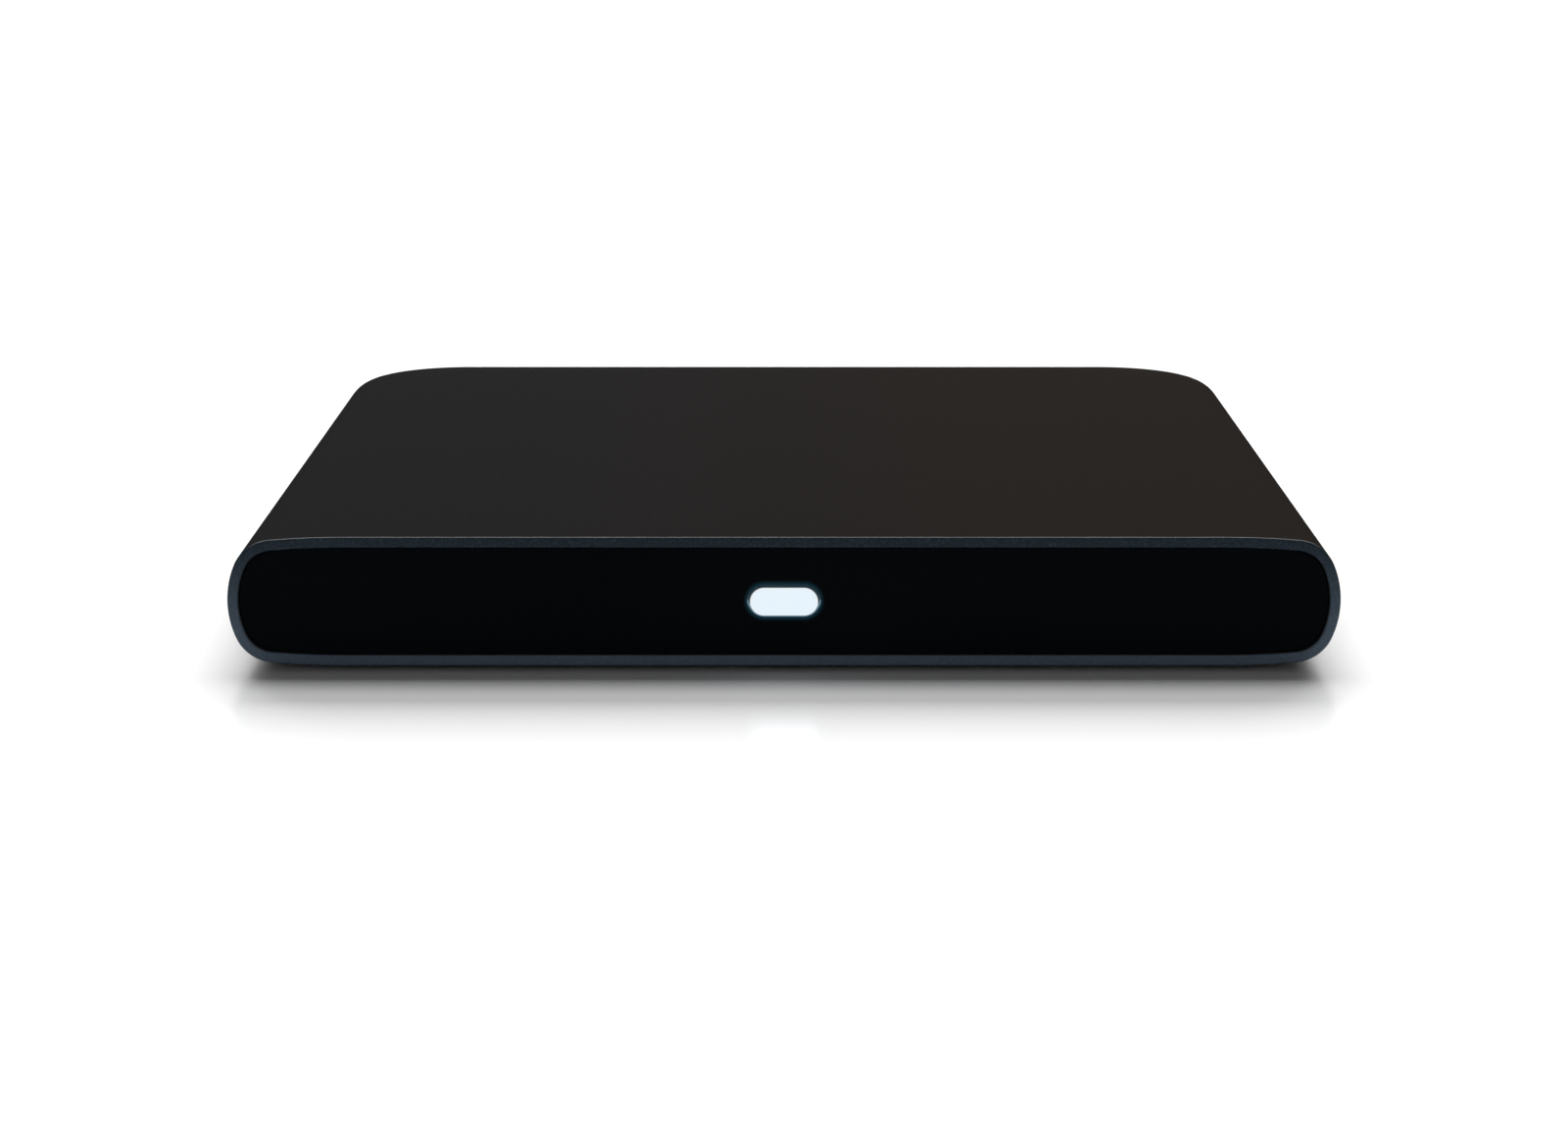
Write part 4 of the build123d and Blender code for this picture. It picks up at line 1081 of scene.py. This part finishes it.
@dataclass
class Sleeve:
    """One-piece sleeve: outer and inner skin, rolled front rim, connector bay and underside."""

    form: HousingForm
    floor_z: float
    rim_round: float = 0.3 * MM
    bay_round: float = 0.25 * MM
    pad_height: float = 0.6 * MM
    foot_gap: float = 0.1 * MM
    foot_sink: float = 0.5 * MM
    head_radius: float = 2.7 * MM
    head_depth: float = 0.9 * MM
    hole_radius: float = 1.4 * MM
    pad_rim: float = 1.0 * MM
    label_sink: float = 0.2 * MM
    label_gap: float = 0.1 * MM
    label_corner: float = 1.5 * MM
    vent_count: int = 8
    vent_pitch: float = 5.0 * MM
    vent_width: float = 2.0 * MM
    vent_length: float = 24.0 * MM
    vent_edge: float = 0.2 * MM
    skin: Skin = field(default_factory=Skin)

    def _rim(self) -> None:
        """Front rim: the section's loop carried round the end of the wall.

        The wall's end is two quarter circles and the flat between them, each point given by
        its distance in from the outer face and its distance back from the front plane.
        """
        wall = self.form.wall
        outer = rounding(self.rim_round)
        inner = [(wall - inset, back) for inset, back in reversed(outer)]
        loops = []
        for inset, back in [*outer, *inner]:
            lip = self.bay_round * (1 - inset / wall)
            loops.append(Facing.UPRIGHT.place(self.form.loop(inset, lip), self.form.front + back))
        self.skin.grid(np.stack(loops), closed=True)

    def _bay(self, start: float) -> None:
        """Wall of the connector bay: its edge loop, rolled in and carried to the inner skin.

        Args:
            start: Y at which the skins begin at the front.
        """
        columns, rows = self.form.bay_loop()
        loops = []
        for grown, back in rounding(self.bay_round):
            edge = self.form.skin(0, back, start)[columns, rows]
            loops.append(edge - [0, grown, 0])
        loops.append(self.form.skin(self.form.wall, 0, start)[columns, rows])
        self.skin.grid(np.stack(loops), closed=True)

    def _foot_recess(self, node: str, base_z: float) -> tuple[np.ndarray, np.ndarray]:
        """Recess that a foot sits in, its screw's hole, and the pad round it on the floor inside.

        Args:
            node: The foot.
            base_z: Z of the outer bottom face.

        Returns:
            The recess's outline outside and the pad's outline inside.
        """
        middle, size = spot(node)
        recess = circle(middle[0], middle[1], size[0] / 2 + self.foot_gap)
        seat = base_z + self.foot_sink
        head = seat + self.head_depth
        pad = self.floor_z + self.pad_height
        to_head = self.head_radius - recess.corner
        to_hole = self.hole_radius - recess.corner
        to_pad = self.pad_rim - self.foot_gap
        steps = [
            (0, base_z), (0, seat), (to_head, seat), (to_head, head), (to_hole, head),
            (to_hole, pad), (to_pad, pad), (to_pad, self.floor_z),
        ]
        self.skin.stack(recess, steps, Facing.LEVEL)
        return recess.points(0), recess.points(to_pad)

    def _label_recess(self, base_z: float) -> np.ndarray:
        """Shallow recess for the rating label, and its outline."""
        middle, size = spot("rating_label")
        width, height = size[:2] + 2 * self.label_gap
        label = RoundedBox(middle[0], middle[1], width, height, self.label_corner)
        label_z = base_z + self.label_sink
        self.skin.stack(label, [(0, base_z), (0, label_z)], Facing.LEVEL)
        self.skin.polygon(Facing.LEVEL.place(label.points(), label_z))
        return label.points()

    def _vents(self, base_z: float) -> list[RoundedBox]:
        """Row of slots through the floor under the heat sink, with bevelled outer edges."""
        bevel = np.linspace(0, self.vent_edge, 3)
        steps = [(self.vent_edge - inset, base_z + inset) for inset in bevel]
        offsets = (np.arange(self.vent_count) - (self.vent_count - 1) / 2) * self.vent_pitch
        y = spot("heat_sink")[0][1]
        slots = [
            RoundedBox(x, y, self.vent_width, self.vent_length, self.vent_width / 2)
            for x in offsets
        ]
        for slot in slots:
            self.skin.stack(slot, [*steps, (0, self.floor_z)], Facing.LEVEL)
        return slots

    def _underside(self, outer: np.ndarray, inner: np.ndarray, base_z: float) -> None:
        """Bottom faces with the foot recesses, the label's recess and the vents.

        Args:
            outer: (n, 2) outline of the outer bottom face.
            inner: (n, 2) outline of the inner floor.
            base_z: Z of the outer bottom face.
        """
        recesses, pads = zip(*(self._foot_recess(node, base_z) for node in FOOT_NODES))
        label = self._label_recess(base_z)
        vents = self._vents(base_z)
        outer_vents = [slot.points(self.vent_edge) for slot in vents]
        self.skin.fill(outer, [*recesses, label, *outer_vents], Facing.LEVEL, base_z)
        inner_holes = [*pads, *(slot.points() for slot in vents)]
        self.skin.fill(inner, inner_holes, Facing.LEVEL, self.floor_z)

    def build(self) -> bpy.types.Object:
        """Make the whole sleeve as one closed surface."""
        start = self.form.front + self.rim_round
        outer = self.form.skin(0, self.bay_round, start)
        inner = self.form.skin(self.form.wall, 0, start)
        columns, rows = self.form.bay_steps_in()
        depth = columns[:, None] + rows[None, :]
        hidden = (columns[:, None] > 0) & (rows[None, :] > 0) & (depth > self.form.bay_steps)
        self.skin.grid(outer, hidden=hidden)
        self.skin.grid(inner, hidden=hidden)
        self.skin.polygon(outer[:, 0])
        self.skin.polygon(inner[:, 0])
        self._rim()
        self._bay(start)
        self._underside(outer[:, -1, :2], inner[:, -1, :2], float(outer[0, -1, 2]))
        return self.skin.build("sleeve_shell")

    def dress(self, piece: bpy.types.Object, coat: Material, rim: Material) -> None:
        """Coat the sleeve, and lacquer the faces of its front rim, with the rim's painted bounce light
        and shade.

        Args:
            piece: The finished sleeve.
            coat: The sleeve's own finish.
            rim: The finish of the rim.
        """
        wear(piece, coat)
        piece.data.materials.append(rim)
        corners = np.empty(3 * len(piece.data.polygons))
        piece.data.polygons.foreach_get("center", corners)
        on_rim = corners.reshape(-1, 3)[:, 1] < self.form.front + self.rim_round
        piece.data.polygons.foreach_set("material_index", on_rim.astype(np.int32))


@dataclass
class Plate:
    """Flat plate with holes, its edges rounded towards its face."""

    outline: object
    holes: list
    back: float
    face: float
    edge: float
    hole_edge: float = 0.1 * MM

    def add_to(self, skin: Skin) -> None:
        """Add the plate's walls, face and back to a skin.

        Args:
            skin: The skin that the plate becomes part of.
        """
        way = 1 if self.face > self.back else -1

        def walls(outline: object, edge: float, sign: int) -> np.ndarray:
            """Wall of one outline, from the back to the face, and the outline at the face."""
            steps = [(0.0, self.back)]
            steps += [(sign * inset, self.face - way * behind) for inset, behind in rounding(edge)]
            skin.stack(outline, steps, Facing.UPRIGHT)
            return outline.points(sign * edge)

        face_outline = walls(self.outline, self.edge, -1)
        face_holes = [walls(hole, self.hole_edge, 1) for hole in self.holes]
        skin.fill(face_outline, face_holes, Facing.UPRIGHT, self.face)
        skin.fill(
            self.outline.points(0), [hole.points(0) for hole in self.holes], Facing.UPRIGHT,
            self.back,
        )


@dataclass(frozen=True)
class SectionOutline:
    """The housing's section as a plate's outline."""

    form: HousingForm
    inset: float

    def points(self, grow: float = 0.0) -> np.ndarray:
        """The section's loop, moved out by grow."""
        return self.form.loop(self.inset - grow)


@dataclass
class FrontPanel:
    """Dark window that fills the front opening, with the button's hole."""

    form: HousingForm
    gap: float = 0.1 * MM
    edge: float = 0.15 * MM
    hole_gap: float = 0.25 * MM
    hole_edge: float = 0.06 * MM

    def build(self) -> bpy.types.Object:
        """Make the window as a plate with rounded edges."""
        low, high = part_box("front_panel")
        outline = SectionOutline(self.form, self.form.wall + self.gap)
        holes = [button_outline(self.hole_gap)]
        skin = Skin()
        Plate(outline, holes, high.y, low.y, self.edge, self.hole_edge).add_to(skin)
        return skin.build("front_window")


CAP_LAP = 1.1 * MM


def button_outline(grow: float = 0.0) -> RoundedBox:
    """Full-round outline of the button's cap, or of a hole that much larger round it."""
    middle, size = spot("button_cap")
    width, _, height = size - 2 * (CAP_LAP - grow)
    return RoundedBox(0.0, middle[2], width, height, height / 2, 16)


@dataclass
class ButtonCap:
    """Lit cap of the power button: a pill with a rolled edge and a gentle crown."""

    edge: float = 0.28 * MM
    edge_steps: int = 6
    crown: float = 0.05 * MM
    crown_steps: int = 6
    flange: float = 0.8 * MM
    flange_gap: float = 0.05 * MM
    stem_radius: float = 1.1 * MM
    sharp: float = 50.0

    def build(self) -> bpy.types.Object:
        """Carry the cap's outline from the flange to the face and close it over a crown.

        The crown's height falls with the square of the distance from the cap's middle line.
        """
        low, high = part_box("button_cap")
        outline = button_outline()
        half = outline.height / 2
        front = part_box("front_panel")[1].y + self.flange_gap
        back = front + self.flange
        roll = rounding(self.edge, self.edge_steps)
        steps = [(-half, back), (CAP_LAP, back), (CAP_LAP, front), (0.0, front)]
        steps += [(-inset, low.y + self.crown + behind) for inset, behind in roll]
        for share in np.linspace(0, 1, self.crown_steps + 1)[1:]:
            inset = self.edge + (half - self.edge) * share
            steps.append((-inset, low.y + self.crown * (1 - share) ** 2))
        skin = Skin()
        skin.stack(outline, steps, Facing.UPRIGHT)
        radius = self.stem_radius
        stem_steps = [(-radius, back), (0.0, back), (0.0, high.y), (-radius, high.y)]
        skin.stack(circle(0.0, outline.y, radius, 8), stem_steps, Facing.UPRIGHT)
        return skin.build("power_button_cap", self.sharp)


@dataclass
class Foot:
    """Rubber foot: a disc with a rounded edge and a shallow ring groove underneath."""

    node: str
    edge: float = 0.4 * MM
    edge_steps: int = 5
    groove: tuple[float, float] = (3.9 * MM, 2.9 * MM)
    groove_depth: float = 0.25 * MM
    groove_bevel: float = 0.1 * MM
    sharp: float = 40.0

    def build(self) -> bpy.types.Object:
        """Carry a circle along the foot's side, under its edge and over the ring groove."""
        low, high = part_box(self.node)
        middle, size = spot(self.node)
        radius = size[0] / 2
        out, inside = (reach - radius for reach in self.groove)
        deep = low.z + self.groove_depth
        steps = [(-radius, high.z), (0.0, high.z)]
        steps += [
            (-inset, low.z + behind) for inset, behind in rounding(self.edge, self.edge_steps)
        ]
        steps += [
            (out, low.z), (out - self.groove_bevel, deep), (inside + self.groove_bevel, deep),
            (inside, low.z), (-radius, low.z),
        ]
        skin = Skin()
        skin.stack(circle(middle[0], middle[1], radius), steps, Facing.LEVEL)
        return skin.build(f"{self.node}_pad", self.sharp)


@dataclass(frozen=True)
class NetworkMouth:
    """Mouth of the network socket: a box with the latch's slot below it."""

    x: float
    bottom: float
    gap: float
    width: float = 11.8 * MM
    height: float = 6.8 * MM
    latch_width: float = 6.2 * MM
    latch_depth: float = 1.5 * MM

    def points(self, grow: float = 0.0) -> np.ndarray:
        """Eight corners, moved out by grow.

        Args:
            grow: How far the outline moves outwards.

        Returns:
            (8, 2) array, anticlockwise.
        """
        out = grow + self.gap
        half, latch = self.width / 2 + out, self.latch_width / 2 + out
        low, high = self.bottom - out, self.bottom + self.height + out
        deep = self.bottom - self.latch_depth - out
        corners = [(half, low), (half, high), (-half, high), (-half, low), (-latch, low),
                   (-latch, deep), (latch, deep), (latch, low)]
        return np.array(corners) + [self.x, 0]


@dataclass
class ConnectorPanel:
    """Plate that fills the bay, with a window for each socket, and its flange inside."""

    form: HousingForm
    gap: float = 0.1 * MM
    window_gap: float = 0.15 * MM
    window_corner: float = 0.2 * MM
    thickness: float = 1.6 * MM
    flange: float = 0.8 * MM
    flange_rim: tuple[float, float] = (1.6 * MM, 0.2 * MM)
    flange_edges: tuple[float, float] = (0.02 * MM, 0.01 * MM)
    edge: float = 0.07 * MM
    mouth_rise: float = 2.7 * MM
    power_rise: float = 5.6 * MM
    power_radius: float = 4.0 * MM
    audio_rise: float = 3.8 * MM
    audio_radius: float = 3.0 * MM
    reset_radius: float = 1.05 * MM
    video_cut: float = 1.5 * MM
    vent_count: int = 5
    vent_pitch: float = 2.6 * MM
    vent_width: float = 1.2 * MM
    vent_height: float = 2.4 * MM
    screw_radius: float = 1.15 * MM
    screw_head: float = 1.8 * MM

    def _window(self, node: str) -> RoundedBox:
        """Window as large as a socket's own end, plus a gap."""
        middle, size = spot(node)
        width, _, height = size + 2 * self.window_gap
        return RoundedBox(middle[0], middle[2], width, height, self.window_corner)

    def _windows(self) -> list:
        """Every window of the panel, from the power inlet to the serial socket."""
        gap = self.window_gap
        board_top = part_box("network_socket")[0].z
        reset = spot("reset_plunger")[0]
        video, video_size = spot("video_socket_shell")
        video_low, video_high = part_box("video_socket_shell")
        windows = [
            circle(spot("power_inlet")[0][0], board_top + self.power_rise, self.power_radius + gap),
            circle(reset[0], reset[2], self.reset_radius, 8),
            circle(spot("audio_socket")[0][0], board_top + self.audio_rise, self.audio_radius + gap),
            self._window("optical_socket"),
            CutBox(
                video[0], video_low.z - gap, video_size[0] + 2 * gap, video_size[2] + 2 * gap,
                self.video_cut,
            ),
            NetworkMouth(spot("network_socket")[0][0], board_top + self.mouth_rise, gap),
            self._window("serial_socket_shell"),
        ]
        vent_z = (video_high.z + gap + self.form.middle_z + self.form.bay_height / 2) / 2
        windows += [
            RoundedBox(
                video[0] + (number - self.vent_count // 2) * self.vent_pitch, vent_z,
                self.vent_width, self.vent_height, self.vent_width / 2, 6,
            )
            for number in range(self.vent_count)
        ]
        screws, spread = spot("panel_screws")
        reach = spread[0] / 2 - self.screw_head
        windows += [
            circle(screws[0] + way * reach, screws[2], self.screw_radius, 8) for way in (-1, 1)
        ]
        return windows

    def build(self) -> bpy.types.Object:
        """Make the plate and the flange behind it."""
        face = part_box("rear_panel")[1].y
        back = face - self.thickness
        windows = self._windows()
        outline, behind = (
            RoundedBox(
                0.0, self.form.middle_z, self.form.bay_width + 2 * grow_x,
                self.form.bay_height + 2 * grow_z, self.form.bay_corner,
            )
            for grow_x, grow_z in ((-self.gap, -self.gap), self.flange_rim)
        )
        skin = Skin()
        Plate(outline, windows, back, face, self.edge).add_to(skin)
        Plate(behind, windows, back - self.flange, back, *self.flange_edges).add_to(skin)
        return skin.build("connector_panel")


@dataclass(frozen=True)
class Softbox:
    """Rectangular area light: its name, where it stands, its width and height, and its watts."""

    name: str
    place: tuple[float, float, float]
    size: tuple[float, float]
    power: float

    def build(self, aim: Vector) -> None:
        """Hang the light, facing the aim."""
        data = bpy.data.lights.new(self.name, "AREA")
        data.shape = "RECTANGLE"
        data.size, data.size_y = self.size
        data.energy = self.power
        light = bpy.data.objects.new(self.name, data)
        light.location = self.place
        light.rotation_euler = (aim - light.location).to_track_quat("-Z", "Y").to_euler()
        bpy.context.scene.collection.objects.link(light)


@dataclass
class Studio:
    """Pale floor, soft lights and the camera."""

    form: HousingForm
    lens: float = 82.84
    distance: float = 0.5210
    rise: float = 0.1182
    pitch: float = 12.14
    floor_size: float = 14.0
    floor_cells: int = 8
    floor_colour: Colour = (0.93, 0.93, 0.93)
    ambient: float = 0.10
    aim: tuple[float, float, float] = (0.0, 0.0, 0.01)
    lights: tuple[Softbox, ...] = (
        Softbox("back_light", (0.0, 1.7, 1.25), (2.6, 1.2), 93.0),
        Softbox("top_light", (0.0, 0.5, 1.4), (1.8, 0.6), 17.0),
        Softbox("front_fill", (0.0, -1.7, 0.55), (1.6, 0.5), 3.0),
    )

    def _floor(self) -> None:
        """Large level sheet: a grid of points at Z = 0, in a pale, faintly glossy finish."""
        line = np.linspace(-self.floor_size / 2, self.floor_size / 2, self.floor_cells + 1)
        x, y = np.meshgrid(line, line, indexing="ij")
        skin = Skin()
        skin.grid(np.stack([x, y, 0 * x], axis=2))
        floor = skin.build("studio_floor")
        paint = Paint(
            "studio_paper", Base_Color=solid(self.floor_colour), Specular_IOR_Level=0.5
        )
        paint.handled(scale=3.0, low=0.16, high=0.18)
        wear(floor, paint.material)

    def _camera(self) -> None:
        """Camera in front of the housing, a little above it, looking down by the pitch."""
        data = bpy.data.cameras.new("camera")
        data.lens = self.lens
        camera = bpy.data.objects.new("camera", data)
        camera.location = (0.0, self.form.front - self.distance, self.form.middle_z + self.rise)
        camera.rotation_euler = (radians(90.0 - self.pitch), 0.0, 0.0)
        bpy.context.scene.collection.objects.link(camera)
        bpy.context.scene.camera = camera

    def _backdrop(self) -> None:
        """White world: full strength where the camera sees it, and dim as a light."""
        world = bpy.data.worlds.new("studio_world")
        world.use_nodes = True
        sky = NodeKit(world.node_tree)
        back = world.node_tree.nodes["Background"]
        back.inputs["Color"].default_value = solid((1.0, 1.0, 1.0))
        seen = sky.node("ShaderNodeLightPath").outputs["Is Camera Ray"]
        strength = sky.maths("ADD", sky.maths("MULTIPLY", seen, 1.0 - self.ambient), self.ambient)
        sky.give(back.inputs["Strength"], strength)
        bpy.context.scene.world = world

    def build(self) -> None:
        """Set up the floor, the lights, the backdrop and the camera."""
        self._floor()
        for light in self.lights:
            light.build(Vector(self.aim))
        self._backdrop()
        bpy.context.scene.view_settings.view_transform = "Standard"
        self._camera()
        LOG.info("studio ready")


def main() -> None:
    """Build every piece in order, dress it and set up the studio."""
    logging.basicConfig(level=logging.INFO, format="%(name)s: %(message)s")
    low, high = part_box("sleeve")
    form = HousingForm(
        half_width=high.x, half_height=(high.z - low.z) / 2, front=low.y, rear=high.y,
        middle_z=(low.z + high.z) / 2,
    )
    wardrobe = Wardrobe()
    wardrobe.dress_cad_parts()

    shell = Sleeve(form, floor_z=low.z + form.wall)
    sleeve = shell.build()
    coat = CoatFinish("soft_coating", reach=form.half_width).material()
    shell.dress(sleeve, coat, RimFinish("rim_lacquer_painted_bounce_light", form.middle_z, form.half_height).material())
    settle(sleeve, "sleeve", "player")

    window = FrontPanel(form).build()
    cap = button_outline()
    wear(window, WindowFinish("window_gloss", cap).material())
    settle(window, "front_panel", "player")

    lamp = ButtonCap()
    button = lamp.build()
    face_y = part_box("button_cap")[0].y
    wear(button, LampFinish("lamp_white", cap, face_y, lamp.edge).material())
    settle(button, "button_cap", "power_button")

    for node in FOOT_NODES:
        foot = Foot(node).build()
        wear(foot, wardrobe.finishes["rubber_black"])
        settle(foot, node, "player")

    panel = ConnectorPanel(form).build()
    wear(panel, wardrobe.finishes["black_plastic"])
    settle(panel, "rear_panel", "player")

    Studio(form).build()


if __name__ == "__main__":
    main()
